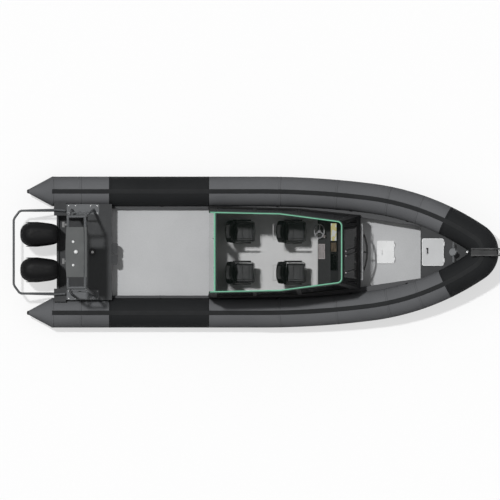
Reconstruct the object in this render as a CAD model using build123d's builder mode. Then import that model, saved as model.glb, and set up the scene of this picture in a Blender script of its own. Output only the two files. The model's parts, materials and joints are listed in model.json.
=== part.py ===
from build123d import *
from math import acos, asin, atan, cos, degrees, pi, radians, sin, sqrt, tan
import os

os.makedirs("parts", exist_ok=True)

# Work boat with an inflatable collar. Millimetres, +X to the bow, +Y to port, +Z up.
# The origin is on the waterline, on the centreline, amidships.

# Collar tube
tube_r = 325.0
tube_half = 1336.0
tube_z = 375.0
cone_tip_x = -5007.0
cone_base_x = -4486.0
cone_tip_r = 43.0
band_aft_x = -3210.0
band_front_x = -1056.0
pitch = 4.8
pitch_x = -350.0
pitch_run = 350.0
bend_start = 502.0
bow_r1 = 18850.0
bow_turn1 = 7.24
bow_r2 = 5400.0
nose_turn = 25.8
nose_r = 369.0
strip_width = 96.0
strip_t = 7.0

# The collar's bow lies in a plane pitched up about the line x = pitch_x
slope = radians(pitch)
tilted = Plane(
    origin=(pitch_x, 0, tube_z),
    x_dir=(cos(slope), 0, sin(slope)),
    z_dir=(-sin(slope), 0, cos(slope)),
)
rise_r = pitch_run / tan(slope / 2)
turn1 = radians(bow_turn1)
c1 = (bend_start, tube_half - bow_r1)
a1 = (c1[0] + bow_r1 * sin(turn1), c1[1] + bow_r1 * cos(turn1))
c2 = (a1[0] - bow_r2 * sin(turn1), a1[1] - bow_r2 * cos(turn1))
turn2 = acos(-c2[1] / (bow_r2 - nose_r))
nose_c = c2[0] + (bow_r2 - nose_r) * sin(turn2)
nose_x = round(tilted.from_local_coords((nose_c + nose_r + tube_r, 0, 0)).X)

# Clear half breadth between the two sides of the collar
inner_half = tube_half - tube_r

# Hull
transom_x = -4385.0
transom_t = 48.0
hull_gap = 0.5
deck_z = 200.0
deck_t = 15.0
aft_deck_z = 700.0
aft_deck_x = -3170.0
bow_deck_z = 750.0
bow_deck_t = 40.0
bow_step_x = nose_x - 1713.0
well_x = -3707.0
well_half = inner_half - 207.0
transom_top = 300.0
wing_x = -4444.0
wing_end_x = -4180.0
wing_half = inner_half + 80.0
side_deck_half = inner_half + 45.0
cockpit_half = inner_half - 56.0

# Cabin
wall_t = 40.0
sill_z = 1150.0
eave_z = 2230.0
roof_t = 14.0
cabin_aft_x = -1049.0
bulkhead_x = -913.0
bulkhead_t = 46.0
cabin_front_x = 2303.0
glass_front_x = 1910.0
glass_t = 10.0
glass_gap = 0.5

# Cabin plan: x, half breadth at the sill and at the eave, stern to bow
sill_half = (inner_half - 10.0, inner_half - 65.0, inner_half - 210.0)
sill_rows = ((cabin_aft_x, sill_half[0]), (968.0, sill_half[1]), (cabin_front_x, sill_half[2]))
eave_half = (sill_half[0] - 99.0, sill_half[1] - 77.0, sill_half[2] - 114.0)
eave_rows = ((cabin_aft_x + 14.0, eave_half[0]), (528.0, eave_half[1]), (glass_front_x, eave_half[2]))
fore_half_a = sill_half[2] - 31.0
fore_half_b = fore_half_a - 195.0

# Deck hatches: aft edge, fore edge, half breadth
fore_lid_x = round(cabin_front_x + 0.4158 * (bow_step_x - cabin_front_x))
fore_lid = (fore_lid_x - 189.0, fore_lid_x + 189.0, 250.0)
bow_lid = (bow_step_x + 31.0, bow_step_x + 508.0, 300.0)

# Door
door_low_y = -361.0
door_high_y = 365.0
door_gap = 6.0
door_top = 2110.0
door_t = 40.0
pin_r = 6.0
run_gap = 0.05

# Engines
engine_half = 391.0
tilt_x = -4400.0
tilt_z = 350.0
swivel_x = -4535.0
cowl_aft_x = -5188.0
cowl_front_x = -4330.0
cowl_low_z = 490.0
cowl_top_z = 1062.0
cowl_half = 275.0
prop_x = -4905.0
prop_z = -605.0
prop_r = 190.0


def keep(builder, name):
    builder.part.label = name
    export_step(builder.part, "parts/" + name + ".step")


def collar_point(x):
    """Half breadth and height of the collar's centreline at a station."""
    u = (x - pitch_x) / cos(slope)
    if x <= pitch_x - pitch_run:
        z = tube_z
    elif x < pitch_x + pitch_run:
        z = tube_z + (x - pitch_x + pitch_run) ** 2 / (4 * pitch_run) * tan(slope)
    else:
        z = tube_z + (x - pitch_x) * tan(slope)
    if u <= c1[0]:
        y = tube_half
    elif u <= a1[0]:
        y = c1[1] + sqrt(bow_r1**2 - (u - c1[0]) ** 2)
    elif u <= c2[0] + bow_r2 * sin(turn2):
        y = c2[1] + sqrt(bow_r2**2 - (u - c2[0]) ** 2)
    else:
        y = sqrt(max(nose_r**2 - (u - nose_c) ** 2, 0))
    return y, z


def arc_plane(centre, radius, turn, side):
    """Plane across the collar at a heading on an arc of the pitched plane."""
    at = (centre[0] + radius * sin(turn), side * (centre[1] + radius * cos(turn)))
    along = tilted.x_dir * cos(turn) + tilted.y_dir * (-side * sin(turn))
    out = tilted.x_dir * sin(turn) + tilted.y_dir * (side * cos(turn))
    return Plane(origin=tilted.from_local_coords((at[0], at[1], 0)), x_dir=out, z_dir=along)


def bend(draw, centre, radius, turn_a, turn_b, side):
    """Turns the drawn section along an arc from one heading to the next."""
    with BuildSketch(arc_plane(centre, radius, turn_a, side)) as section:
        draw()
    axis = Axis(
        tilted.from_local_coords((centre[0], side * centre[1], 0)),
        tilted.z_dir * -side,
    )
    revolve(section.sketch, axis=axis, revolution_arc=degrees(turn_b - turn_a))


def level_plane(x, side):
    return Plane(origin=(x, side * tube_half, tube_z), x_dir=(0, side, 0), z_dir=(1, 0, 0))


def run_level(draw, x_a, x_b, side):
    with BuildSketch(level_plane(x_a, side)) as section:
        draw()
    extrude(section.sketch, amount=x_b - x_a, dir=(1, 0, 0))


def run_rise(draw, side):
    """The large upward bend between the level stern and the pitched bow."""
    start = pitch_x - pitch_run
    with BuildSketch(level_plane(start, side)) as section:
        draw()
    axis = Axis((start, side * tube_half, tube_z + rise_r), (0, -1, 0))
    revolve(section.sketch, axis=axis, revolution_arc=pitch)


def run_pitched(draw, side):
    start = tilted.from_local_coords((pitch_run, side * tube_half, 0))
    with BuildSketch(Plane(origin=start, x_dir=(0, side, 0), z_dir=tilted.x_dir)) as section:
        draw()
    extrude(section.sketch, amount=bend_start - pitch_run, dir=tilted.x_dir)


def run_front(draw, side):
    """Collar from the pitched straight to the end of the grey fabric."""
    run_rise(draw, side)
    run_pitched(draw, side)
    bend(draw, c1, bow_r1, 0, turn1, side)
    bend(draw, c2, bow_r2, turn1, radians(nose_turn), side)


def run_nose(draw):
    for side in (1, -1):
        bend(draw, c2, bow_r2, radians(nose_turn), turn2, side)
        bend(draw, (nose_c, 0), nose_r, turn2, radians(90), side)


def full_round():
    Circle(tube_r)


def cut_round():
    Circle(tube_r + hull_gap)


# The collar a little enlarged, length by length, to cut its seat in hull and decks
collar_cuts = []
for side in (1, -1):
    with BuildPart() as length:
        run_level(cut_round, transom_x - 300, pitch_x - pitch_run, side)
    collar_cuts.append(length.part)
    with BuildPart() as length:
        run_rise(cut_round, side)
    collar_cuts.append(length.part)
    with BuildPart() as length:
        run_pitched(cut_round, side)
    collar_cuts.append(length.part)
    with BuildPart() as length:
        bend(cut_round, c1, bow_r1, 0, turn1, side)
    collar_cuts.append(length.part)
    with BuildPart() as length:
        bend(cut_round, c2, bow_r2, turn1, turn2, side)
    collar_cuts.append(length.part)
with BuildPart() as length:
    bend(cut_round, (nose_c, 0), nose_r, turn2, pi - turn2, 1)
collar_cuts.append(length.part)

# Collar, aft length with its cone, one each side
with BuildPart() as tube_aft:
    for side in (1, -1):
        with BuildSketch(Plane(origin=(0, side * tube_half, tube_z), x_dir=(1, 0, 0), z_dir=(0, -1, 0))):
            with BuildLine():
                Polyline(
                    (cone_tip_x, 0),
                    (cone_tip_x, cone_tip_r),
                    (cone_base_x, tube_r),
                    (band_aft_x, tube_r),
                    (band_aft_x, 0),
                    close=True,
                )
            make_face()
        revolve(axis=Axis((0, side * tube_half, tube_z), (1, 0, 0)))
keep(tube_aft, "tube_aft")

with BuildPart() as tube_band:
    for side in (1, -1):
        run_level(full_round, band_aft_x, band_front_x, side)
keep(tube_band, "tube_wear_band")

with BuildPart() as tube_fore:
    for side in (1, -1):
        run_level(full_round, band_front_x, pitch_x - pitch_run, side)
        run_front(full_round, side)
keep(tube_fore, "tube_fore")

with BuildPart() as tube_nose:
    run_nose(full_round)
keep(tube_nose, "tube_nose")

# Dark tread strip along the crown of the collar
strip_turn = degrees(asin(strip_width / 2 / tube_r))


def crown_at(up):
    """Section of the tread strip, with the crown towards one local direction."""
    low = tube_r + 0.3
    top = tube_r + strip_t
    ends = [(cos(radians(up + k * strip_turn)), sin(radians(up + k * strip_turn))) for k in (1, -1)]
    with BuildLine() as outline:
        CenterArc((0, 0), low, up - strip_turn, 2 * strip_turn)
        CenterArc((0, 0), top, up - strip_turn, 2 * strip_turn)
        for end in ends:
            Line((low * end[0], low * end[1]), (top * end[0], top * end[1]))
    make_face(outline.edges())


def crown_port():
    crown_at(90)


def crown_starboard():
    crown_at(-90)


with BuildPart() as tube_strip:
    for side, crown in ((1, crown_port), (-1, crown_starboard)):
        run_level(crown, cone_base_x, pitch_x - pitch_run, side)
        run_front(crown, side)
        bend(crown, c2, bow_r2, radians(nose_turn), turn2, side)
        bend(crown, (nose_c, 0), nose_r, turn2, radians(90), side)
keep(tube_strip, "tube_crown_strip")

# Hull sections from the transom to the stem
hull_rows = (
    # x, keel z, chine half breadth as a share of the collar's, chine z
    (transom_x, -500.0, 0.8608, -60.0),
    (pitch_x, -500.0, 0.8608, -50.0),
    (nose_x - 3834.0, -495.0, 0.8429, -10.0),
    (nose_x - 2634.0, -450.0, 0.7979, 95.0),
    (nose_x - 1734.0, -330.0, 0.6871, 235.0),
    (nose_x - 1134.0, -160.0, 0.5430, 340.0),
    (nose_x - 734.0, 60.0, 0.3664, 410.0),
    (nose_x - 504.0, 330.0, 0.1573, 460.0),
)
shelf_in = 100.0
shelf_up = 12.0
joint_x = cabin_front_x + 117.0

with BuildPart() as moulding:
    for x, keel_z, chine_share, chine_z in hull_rows:
        side_y, mid_z = collar_point(x)
        chine_y = chine_share * side_y
        shelf_y = side_y - shelf_in
        shelf_z = mid_z - tube_r + shelf_up
        with BuildSketch(Plane.YZ.offset(x)):
            with BuildLine():
                Polyline(
                    (0, keel_z),
                    (chine_y, chine_z),
                    (shelf_y, shelf_z),
                    (shelf_y, mid_z),
                    (-shelf_y, mid_z),
                    (-shelf_y, shelf_z),
                    (-chine_y, chine_z),
                    close=True,
                )
            make_face()
    loft(ruled=True)
    for length_cut in collar_cuts:
        add(length_cut, mode=Mode.SUBTRACT)
    # Open well of the decks: stern, cockpit, cabin and foredeck
    with BuildSketch(Plane.XY.offset(deck_z - deck_t)):
        with BuildLine():
            Polyline(
                (aft_deck_x, cockpit_half),
                (cabin_aft_x, cockpit_half),
                (cabin_aft_x, sill_rows[0][1]),
                (sill_rows[1][0], sill_rows[1][1]),
                (sill_rows[2][0], sill_rows[2][1]),
                (cabin_front_x, fore_half_a),
                (bow_step_x, fore_half_b),
                (bow_step_x, 0),
                (aft_deck_x, 0),
                close=True,
            )
        make_face()
        mirror(about=Plane.XZ)
    extrude(amount=800, mode=Mode.SUBTRACT)
    with BuildSketch(Plane.XY.offset(deck_z - deck_t)):
        with Locations(((transom_x + aft_deck_x) / 2, 0)):
            Rectangle(aft_deck_x - transom_x, 2600)
    extrude(amount=600, mode=Mode.SUBTRACT)
    with BuildSketch(Plane.XY.offset(bow_deck_z - bow_deck_t)):
        with Locations(((bow_step_x + nose_x) / 2, 0)):
            Rectangle(nose_x - bow_step_x, 2600)
    extrude(amount=400, mode=Mode.SUBTRACT)
    # Lockers under the two deck hatches
    with BuildSketch(Plane.XY.offset(deck_z - deck_t)):
        with Locations(((fore_lid[0] + fore_lid[1]) / 2, 0)):
            Rectangle(fore_lid[1] - fore_lid[0] - 60, 2 * fore_lid[2] - 60)
    extrude(amount=-380, mode=Mode.SUBTRACT)
    with BuildSketch(Plane.XY.offset(bow_deck_z - bow_deck_t)):
        with Locations(((bow_lid[0] + bow_lid[1]) / 2, 0)):
            Rectangle(bow_lid[1] - bow_lid[0] - 60, 2 * bow_lid[2] - 60)
    extrude(amount=-420, mode=Mode.SUBTRACT)

# The moulding is in three: main hull, bow under the deck, and raised bow box
block = 6000.0
with BuildPart() as hull:
    add(moulding.part)
    with Locations((joint_x - block, 0, 0)):
        Box(2 * block, block, block, mode=Mode.INTERSECT)
keep(hull, "hull")

with BuildPart() as bow_box:
    add(moulding.part)
    with Locations((bow_step_x + block / 2, 0, deck_z - deck_t + block / 2)):
        Box(block, block, block, mode=Mode.INTERSECT)
keep(bow_box, "bow_box")

with BuildPart() as hull_bow:
    add(moulding.part)
    with Locations((joint_x + block, 0, 0)):
        Box(2 * block, block, block, mode=Mode.INTERSECT)
    with Locations((bow_step_x + block / 2, 0, deck_z - deck_t + block / 2)):
        Box(block, block, block, mode=Mode.SUBTRACT)
keep(hull_bow, "hull_bow")

with BuildPart() as main_deck:
    with BuildSketch(Plane.XY.offset(deck_z - deck_t)):
        with BuildLine():
            Polyline(
                (aft_deck_x, cockpit_half),
                (cabin_aft_x, cockpit_half),
                (cabin_aft_x, sill_rows[0][1]),
                (sill_rows[1][0], sill_rows[1][1]),
                (sill_rows[2][0], sill_rows[2][1]),
                (cabin_front_x, fore_half_a),
                (bow_step_x, fore_half_b),
                (bow_step_x, 0),
                (aft_deck_x, 0),
                close=True,
            )
        make_face()
        mirror(about=Plane.XZ)
        with Locations(((fore_lid[0] + fore_lid[1]) / 2, 0)):
            Rectangle(fore_lid[1] - fore_lid[0] - 60, 2 * fore_lid[2] - 60, mode=Mode.SUBTRACT)
    extrude(amount=deck_t)
keep(main_deck, "main_deck")

with BuildPart() as aft_deck:
    with BuildSketch(Plane.XY.offset(deck_z - deck_t)):
        with Locations(((transom_x + aft_deck_x) / 2, 0)):
            Rectangle(aft_deck_x - transom_x, 2 * side_deck_half)
    extrude(amount=aft_deck_z - deck_z + deck_t)
    with BuildSketch(Plane.XY.offset(aft_deck_z - 32)):
        for side in (1, -1):
            with Locations(((wing_x + wing_end_x) / 2, side * (well_half + wing_half) / 2)):
                Rectangle(wing_end_x - wing_x, wing_half - well_half)
    extrude(amount=32)
    with BuildSketch(Plane.XY.offset(deck_z)):
        with Locations(((transom_x + transom_t + well_x) / 2, 0)):
            Rectangle(well_x - transom_x - transom_t, 2 * well_half)
    extrude(amount=800, mode=Mode.SUBTRACT)
    with BuildSketch(Plane.XY.offset(transom_top)):
        with Locations((transom_x + transom_t / 2, 0)):
            Rectangle(transom_t + 2, 2 * well_half)
    extrude(amount=800, mode=Mode.SUBTRACT)
    for length_cut in collar_cuts:
        add(length_cut, mode=Mode.SUBTRACT)
keep(aft_deck, "aft_deck")

with BuildPart() as bow_deck:
    with BuildSketch(Plane.XY.offset(bow_deck_z - bow_deck_t)):
        with BuildLine():
            Polyline(
                (bow_step_x, 0),
                (bow_step_x, collar_point(bow_step_x)[0] - 60),
                (nose_x - 1234, collar_point(nose_x - 1234)[0] - 60),
                (nose_x - 834, collar_point(nose_x - 834)[0] - 60),
                (nose_x - 434, 100),
                (nose_x - 434, 0),
                close=True,
            )
        make_face()
        mirror(about=Plane.XZ)
        with Locations(((bow_lid[0] + bow_lid[1]) / 2, 0)):
            Rectangle(bow_lid[1] - bow_lid[0] - 60, 2 * bow_lid[2] - 60, mode=Mode.SUBTRACT)
    extrude(amount=bow_deck_t)
    for length_cut in collar_cuts:
        add(length_cut, mode=Mode.SUBTRACT)
keep(bow_deck, "bow_deck")


# Cabin: straight walls to the sill, then windows that lean in to the eave
def cabin_outline(rows, inset):
    """Closed outline of the cabin at one height, drawn in from the outside."""
    side = [(x, y - inset) for x, y in rows]
    side[-1] = (rows[-1][0] - inset, rows[-1][1] - inset)
    with BuildLine() as outline:
        Polyline(*side, *[(x, -y) for x, y in reversed(side)], close=True)
    make_face(outline.edges())


def cabin_space(inset_low, inset_high):
    """Volume inside the window band, for an inset at sill and at eave."""
    with BuildSketch(Plane.XY.offset(sill_z)) as low:
        cabin_outline(sill_rows, inset_low)
    with BuildSketch(Plane.XY.offset(eave_z)) as high:
        cabin_outline(eave_rows, inset_high)
    return low.sketch, high.sketch


with BuildPart() as upper_outer:
    low, high = cabin_space(0, 0)
    loft([low, high], ruled=True)
with BuildPart() as upper_inner:
    low, high = cabin_space(wall_t, wall_t)
    loft([low, high], ruled=True)
with BuildPart() as glass_outer:
    low, high = cabin_space(12, 12)
    loft([low, high], ruled=True)
with BuildPart() as glass_inner:
    low, high = cabin_space(12 + glass_t, 12 + glass_t)
    loft([low, high], ruled=True)

sides = {1: "port", -1: "starboard"}
with BuildPart() as walls:
    for side in sides:
        with BuildSketch(Plane.XY.offset(deck_z)):
            with BuildLine():
                Polyline(
                    (sill_rows[0][0], side * sill_rows[0][1]),
                    (sill_rows[1][0], side * sill_rows[1][1]),
                    (sill_rows[2][0], side * sill_rows[2][1]),
                    (sill_rows[2][0], side * (sill_rows[2][1] - wall_t)),
                    (sill_rows[2][0] - wall_t, side * (sill_rows[2][1] - wall_t)),
                    (sill_rows[1][0], side * (sill_rows[1][1] - wall_t)),
                    (sill_rows[0][0], side * (sill_rows[0][1] - wall_t)),
                    close=True,
                )
            make_face()
        extrude(amount=sill_z - deck_z)
keep(walls, "cabin_sides")

with BuildPart() as cabin_front:
    with BuildSketch(Plane.XY.offset(deck_z)):
        with Locations((cabin_front_x - wall_t / 2, 0)):
            Rectangle(wall_t, 2 * (sill_rows[2][1] - wall_t))
    extrude(amount=sill_z - deck_z)
keep(cabin_front, "cabin_front")

# Window openings as seen from the side: x, z corners
side_panes = (
    ((-860, sill_z + 90), (-860, eave_z - 70), (-60, eave_z - 70), (-60, sill_z + 90)),
    ((10, sill_z + 90), (10, eave_z - 70), (880, eave_z - 70), (930, sill_z + 90)),
    ((1010, sill_z + 90), (960, eave_z - 70), (1780, eave_z - 70), (2080, sill_z + 90)),
)
wing_pane = ((-1005, sill_z + 90), (-1005, eave_z - 70), (-940, eave_z - 70), (-940, sill_z + 90))
# Windscreen openings as seen from ahead: y, z corners
front_panes = (
    (
        (201 - sill_half[2], sill_z + 205),
        (127 - eave_half[2], eave_z - 90),
        (eave_half[2] - 127, eave_z - 90),
        (sill_half[2] - 201, sill_z + 205),
    ),
    (
        (sill_half[2] - 156, sill_z + 205),
        (eave_half[2] - 81, eave_z - 230),
        (eave_half[2] - 35, eave_z - 230),
        (sill_half[2] - 73, sill_z + 205),
    ),
)


def pane_prism(rows, plane, reach, shrink, corner=28):
    with BuildSketch(plane.offset(-reach)) as opening:
        with BuildLine() as outline:
            Polyline(*rows, close=True)
        make_face(outline.edges())
        if corner > 0:
            fillet(opening.vertices(), corner)
        if shrink > 0:
            offset(amount=-shrink, kind=Kind.INTERSECTION, mode=Mode.REPLACE)
    return extrude(opening.sketch, amount=2 * reach, dir=plane.z_dir, mode=Mode.PRIVATE)


def side_prisms(shrink):
    found = []
    for rows in side_panes:
        found.append(pane_prism(rows, Plane.XZ, 1500, shrink))
    return found


def front_prisms(shrink):
    found = []
    plane = Plane(origin=(2100, 0, 0), x_dir=(0, 1, 0), z_dir=(1, 0, 0))
    found.append(pane_prism(front_panes[0], plane, 260, shrink))
    for flip in (1, -1):
        rows = [(flip * y, z) for y, z in front_panes[1]]
        found.append(pane_prism(rows, plane, 260, shrink, 0))
    return found


with BuildPart() as cabin_upper:
    add(upper_outer.part)
    add(upper_inner.part, mode=Mode.SUBTRACT)
    for tool in side_prisms(0) + front_prisms(0):
        add(tool, mode=Mode.SUBTRACT)
keep(cabin_upper, "cabin_upper")

with BuildPart() as side_glass:
    add(glass_outer.part)
    add(glass_inner.part, mode=Mode.SUBTRACT)
    with BuildPart(mode=Mode.PRIVATE) as side_tool:
        for tool in side_prisms(glass_gap):
            add(tool)
    add(side_tool.part, mode=Mode.INTERSECT)
keep(side_glass, "side_windows")

with BuildPart() as front_glass:
    add(glass_outer.part)
    add(glass_inner.part, mode=Mode.SUBTRACT)
    with BuildPart(mode=Mode.PRIVATE) as front_tool:
        for tool in front_prisms(glass_gap):
            add(tool)
    add(front_tool.part, mode=Mode.INTERSECT)
keep(front_glass, "windscreen")


# Clear roof panel over the cabin
with BuildPart() as roof:
    with BuildSketch(Plane.XY.offset(eave_z)) as roof_face:
        cabin_outline(eave_rows, 0)
        fillet(roof_face.vertices().sort_by(Axis.X)[-2:], 130)
    extrude(amount=roof_t)
keep(roof, "cabin_roof")

# Aft bulkhead with its doorway and two fixed windows
door_low_z = deck_z + 15
aft_panes = (
    (
        (door_high_y + 60, sill_z + 60),
        (door_high_y + 60, eave_z - 110),
        (eave_half[0] - 82, eave_z - 110),
        (sill_half[0] - 131, sill_z + 60),
    ),
    (
        (door_low_y - 60, sill_z + 60),
        (door_low_y - 60, eave_z - 110),
        (82 - eave_half[0], eave_z - 110),
        (131 - sill_half[0], sill_z + 60),
    ),
)
aft_plane = Plane(origin=(bulkhead_x, 0, 0), x_dir=(0, 1, 0), z_dir=(1, 0, 0))
with BuildPart() as bulkhead:
    with BuildSketch(Plane.XY.offset(deck_z)):
        cabin_outline(sill_rows, wall_t)
    extrude(amount=sill_z - deck_z)
    add(upper_inner.part)
    with BuildPart(mode=Mode.PRIVATE) as slab:
        with BuildSketch(aft_plane):
            with Locations((0, (deck_z + eave_z) / 2)):
                Rectangle(2200, eave_z - deck_z + 200)
        extrude(amount=bulkhead_t)
    add(slab.part, mode=Mode.INTERSECT)
    with BuildSketch(aft_plane):
        with Locations(((door_low_y + door_high_y) / 2, (door_low_z + door_top) / 2)):
            Rectangle(door_high_y - door_low_y, door_top - door_low_z)
    extrude(amount=bulkhead_t + 1, mode=Mode.SUBTRACT)
    for rows in aft_panes:
        add(pane_prism(rows, aft_plane, 200, 0), mode=Mode.SUBTRACT)
keep(bulkhead, "aft_bulkhead")

with BuildPart() as aft_glass:
    for rows in aft_panes:
        with BuildPart(mode=Mode.PRIVATE) as one:
            add(pane_prism(rows, aft_plane, 200, glass_gap))
            with Locations((bulkhead_x + bulkhead_t / 2, 0, 1600)):
                Box(glass_t, 3000, 3000, mode=Mode.INTERSECT)
        add(one.part)
keep(aft_glass, "aft_windows")

# Cabin door, hinged on its starboard edge, with a window and a pull bar
hinge_x = bulkhead_x - 18.0
hinge_y = door_low_y + door_gap + 3.0
door_y0 = door_low_y + door_gap
door_y1 = door_high_y - door_gap
door_z0 = door_low_z + door_gap
door_z1 = door_top - door_gap
door_hinges = (door_z0 + 180.0, door_z1 - 180.0)
door_pane = (
    (door_y0 + 110, sill_z + 40),
    (door_y0 + 110, door_z1 - 110),
    (door_y1 - 110, door_z1 - 110),
    (door_y1 - 110, sill_z + 40),
)
barrel_r = 12.0
barrel_half = 32.0
ear_gap = 6.0
ear_t = 14.0
with BuildPart() as cabin_door:
    with BuildSketch(aft_plane):
        with Locations(((door_y0 + door_y1) / 2, (door_z0 + door_z1) / 2)):
            Rectangle(door_y1 - door_y0, door_z1 - door_z0)
    extrude(amount=door_t)
    add(pane_prism(door_pane, aft_plane, 200, 0), mode=Mode.SUBTRACT)
    for z in door_hinges:
        with Locations((hinge_x, hinge_y, z)):
            Cylinder(barrel_r, 2 * barrel_half)
        with Locations(((hinge_x + bulkhead_x + 2) / 2, hinge_y + 16, z)):
            Box(bulkhead_x + 2 - hinge_x, 40, 2 * barrel_half - 8)
        with Locations((hinge_x, hinge_y, z)):
            Cylinder(pin_r + run_gap, 2 * barrel_half + 2, mode=Mode.SUBTRACT)
keep(cabin_door, "cabin_door")

with BuildPart() as door_glass:
    add(pane_prism(door_pane, aft_plane, 200, glass_gap))
    with Locations((bulkhead_x + door_t / 2, 0, 1600)):
        Box(glass_t, 3000, 3000, mode=Mode.INTERSECT)
keep(door_glass, "door_window")

with BuildPart() as door_pull:
    pull_x = bulkhead_x - 52
    for z in (sill_z - 160, sill_z + 20):
        with Locations(((pull_x + bulkhead_x) / 2, door_y1 - 60, z)):
            Cylinder(8, bulkhead_x - pull_x, rotation=(0, 90, 0))
    with Locations((pull_x, door_y1 - 60, sill_z - 70)):
        Cylinder(11, 260)
    with Locations((bulkhead_x - 6, door_y1 - 60, sill_z - 260)):
        Box(12, 60, 110)
keep(door_pull, "door_handle")

with BuildPart() as door_ears:
    for z in door_hinges:
        for up in (1, -1):
            ear_z = z + up * (barrel_half + ear_gap + ear_t / 2)
            with Locations((hinge_x, hinge_y, ear_z)):
                Cylinder(barrel_r, ear_t)
            with Locations(((hinge_x + bulkhead_x) / 2, hinge_y - 31, ear_z)):
                Box(bulkhead_x - hinge_x, 46, ear_t)
        with Locations((hinge_x, hinge_y, z)):
            Cylinder(pin_r, 2 * (barrel_half + ear_gap + ear_t))

# Helm console across the front of the cabin, and the axis of its wheel
wheel_at = (1393.0, 460.0, 1130.0)
wheel_rake = 45.0
wheel_r = 152.0
wheel_dir = (-sin(radians(wheel_rake)), 0, cos(radians(wheel_rake)))
wheel_plane = Plane(origin=wheel_at, x_dir=(cos(radians(wheel_rake)), 0, sin(radians(wheel_rake))), z_dir=wheel_dir)
shaft_len = 78.0
wheel_shaft_r = 14.0
console_aft = 1357.0
console_half = sill_half[2] - 66.0
with BuildPart() as console:
    with BuildSketch(Plane.XZ.offset(-console_half)):
        with BuildLine():
            Polyline(
                (console_aft, 960),
                (console_aft, 1040),
                (1540, 1090),
                (1640, 1110),
                (1812, 1290),
                (1900, 1300),
                (2150, 1300),
                (2150, deck_z),
                (1700, deck_z),
                (1640, 930),
                close=True,
            )
        make_face()
    extrude(amount=2 * console_half)
    # Hub that carries the wheel's shaft
    with BuildSketch(wheel_plane.offset(-22 - shaft_len - 60)):
        Circle(48)
    extrude(amount=shaft_len + 40)
    with BuildSketch(wheel_plane.offset(-22 - shaft_len - 5)):
        Circle(wheel_shaft_r + run_gap)
    extrude(amount=300, mode=Mode.SUBTRACT)
keep(console, "helm_console")

screen_slope = degrees(atan((1290 - 1110) / (1812 - 1640)))
screen_rows = ((647.0, 236.0), (222.0, -6.0), (-20.0, -405.0))
screen_plane = Plane(
    origin=(1640, 0, 1110),
    x_dir=(cos(radians(screen_slope)), 0, sin(radians(screen_slope))),
    z_dir=(-sin(radians(screen_slope)), 0, cos(radians(screen_slope))),
)
with BuildPart() as screens:
    with BuildSketch(screen_plane):
        for high_y, low_y in screen_rows:
            with Locations((125, (high_y + low_y) / 2)):
                RectangleRounded(214, high_y - low_y, 10)
    extrude(amount=24)
keep(screens, "screens")

switch_slope = degrees(atan(50 / (1540 - console_aft)))
switch_plane = Plane(
    origin=(console_aft, 0, 1040),
    x_dir=(cos(radians(switch_slope)), 0, sin(radians(switch_slope))),
    z_dir=(-sin(radians(switch_slope)), 0, cos(radians(switch_slope))),
)
with BuildPart() as switches:
    with BuildSketch(switch_plane):
        for high_y, low_y in ((178.0, 48.0), (38.0, -152.0)):
            with Locations((92, (high_y + low_y) / 2)):
                RectangleRounded(144, high_y - low_y, 8)
    extrude(amount=8)
    # Twin levers on their box
    with BuildSketch(switch_plane):
        with Locations((148, 345)):
            RectangleRounded(78, 70, 12)
    extrude(amount=40)
    for y in (333, 357):
        with BuildSketch(Plane.XZ.offset(-y - 4)):
            with Locations(Location((1512, 1150), 6)):
                Rectangle(14, 110)
        extrude(amount=8)
        with Locations((1507, y, 1206)):
            Cylinder(11, 20, rotation=(90, 0, 0))
keep(switches, "helm_controls")

# Steering wheel on its shaft, raked towards the helm seat
with BuildPart() as wheel:
    with BuildSketch(Plane(origin=wheel_at, x_dir=wheel_plane.x_dir, z_dir=wheel_plane.y_dir)):
        with Locations((wheel_r, 0)):
            RegularPolygon(13, 8)
    revolve(axis=Axis(wheel_at, wheel_dir))
    with BuildSketch(wheel_plane.offset(-22)):
        Circle(34)
    extrude(amount=26)
    for turn in (90, 210, 330):
        with BuildSketch(wheel_plane.offset(-12)):
            with Locations(Rotation(0, 0, turn)):
                with Locations((wheel_r / 2 + 8, 0)):
                    Rectangle(wheel_r - 16, 26)
        extrude(amount=10)
    with BuildSketch(wheel_plane.offset(-22 - shaft_len)):
        Circle(wheel_shaft_r)
    extrude(amount=shaft_len)
keep(wheel, "steering_wheel")

# Four sprung seats in two rows
seat_rows = (-682.0, 440.0)
seat_half = 451.0
seat_places = [(x, side * seat_half) for x in seat_rows for side in (1, -1)]
seat_w = 528.0
pan_w = 470.0
pan_len = 455.0
back_len = 208.0
pan_z = 830.0
pan_t = 130.0
back_top = 1480.0
with BuildPart() as seat_posts:
    for x, y in seat_places:
        with Locations((x + 330, y, deck_z + 12)):
            Box(460, 360, 24)
        with Locations((x + 340, y, (deck_z + 24 + pan_z - pan_t) / 2)):
            Box(220, 200, pan_z - pan_t - deck_z - 24)
keep(seat_posts, "seat_bases")

with BuildPart() as seat_pans:
    for x, y in seat_places:
        with BuildSketch(Plane.XY.offset(pan_z - pan_t)):
            with Locations((x + back_len + pan_len / 2, y)):
                RectangleRounded(pan_len, pan_w, 60)
        extrude(amount=pan_t)
keep(seat_pans, "seat_cushions")

with BuildPart() as seat_backs:
    for x, y in seat_places:
        with BuildSketch(Plane.XZ.offset(-y - seat_w / 2)):
            with BuildLine():
                Polyline(
                    (x + 40, pan_z - pan_t - 40),
                    (x, back_top - 40),
                    (x + 30, back_top),
                    (x + 110, back_top),
                    (x + 150, back_top - 50),
                    (x + back_len - 1, pan_z + 60),
                    (x + back_len - 1, pan_z - pan_t - 40),
                    close=True,
                )
            make_face()
        extrude(amount=seat_w)
keep(seat_backs, "seat_backs")


def rod(a, b, r):
    """Round bar between two points, in the part being built."""
    start = Vector(*a)
    along = Vector(*b) - start
    with BuildSketch(Plane(origin=start, z_dir=along)) as section:
        Circle(r)
    extrude(section.sketch, amount=along.length, dir=along.normalized())


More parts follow.
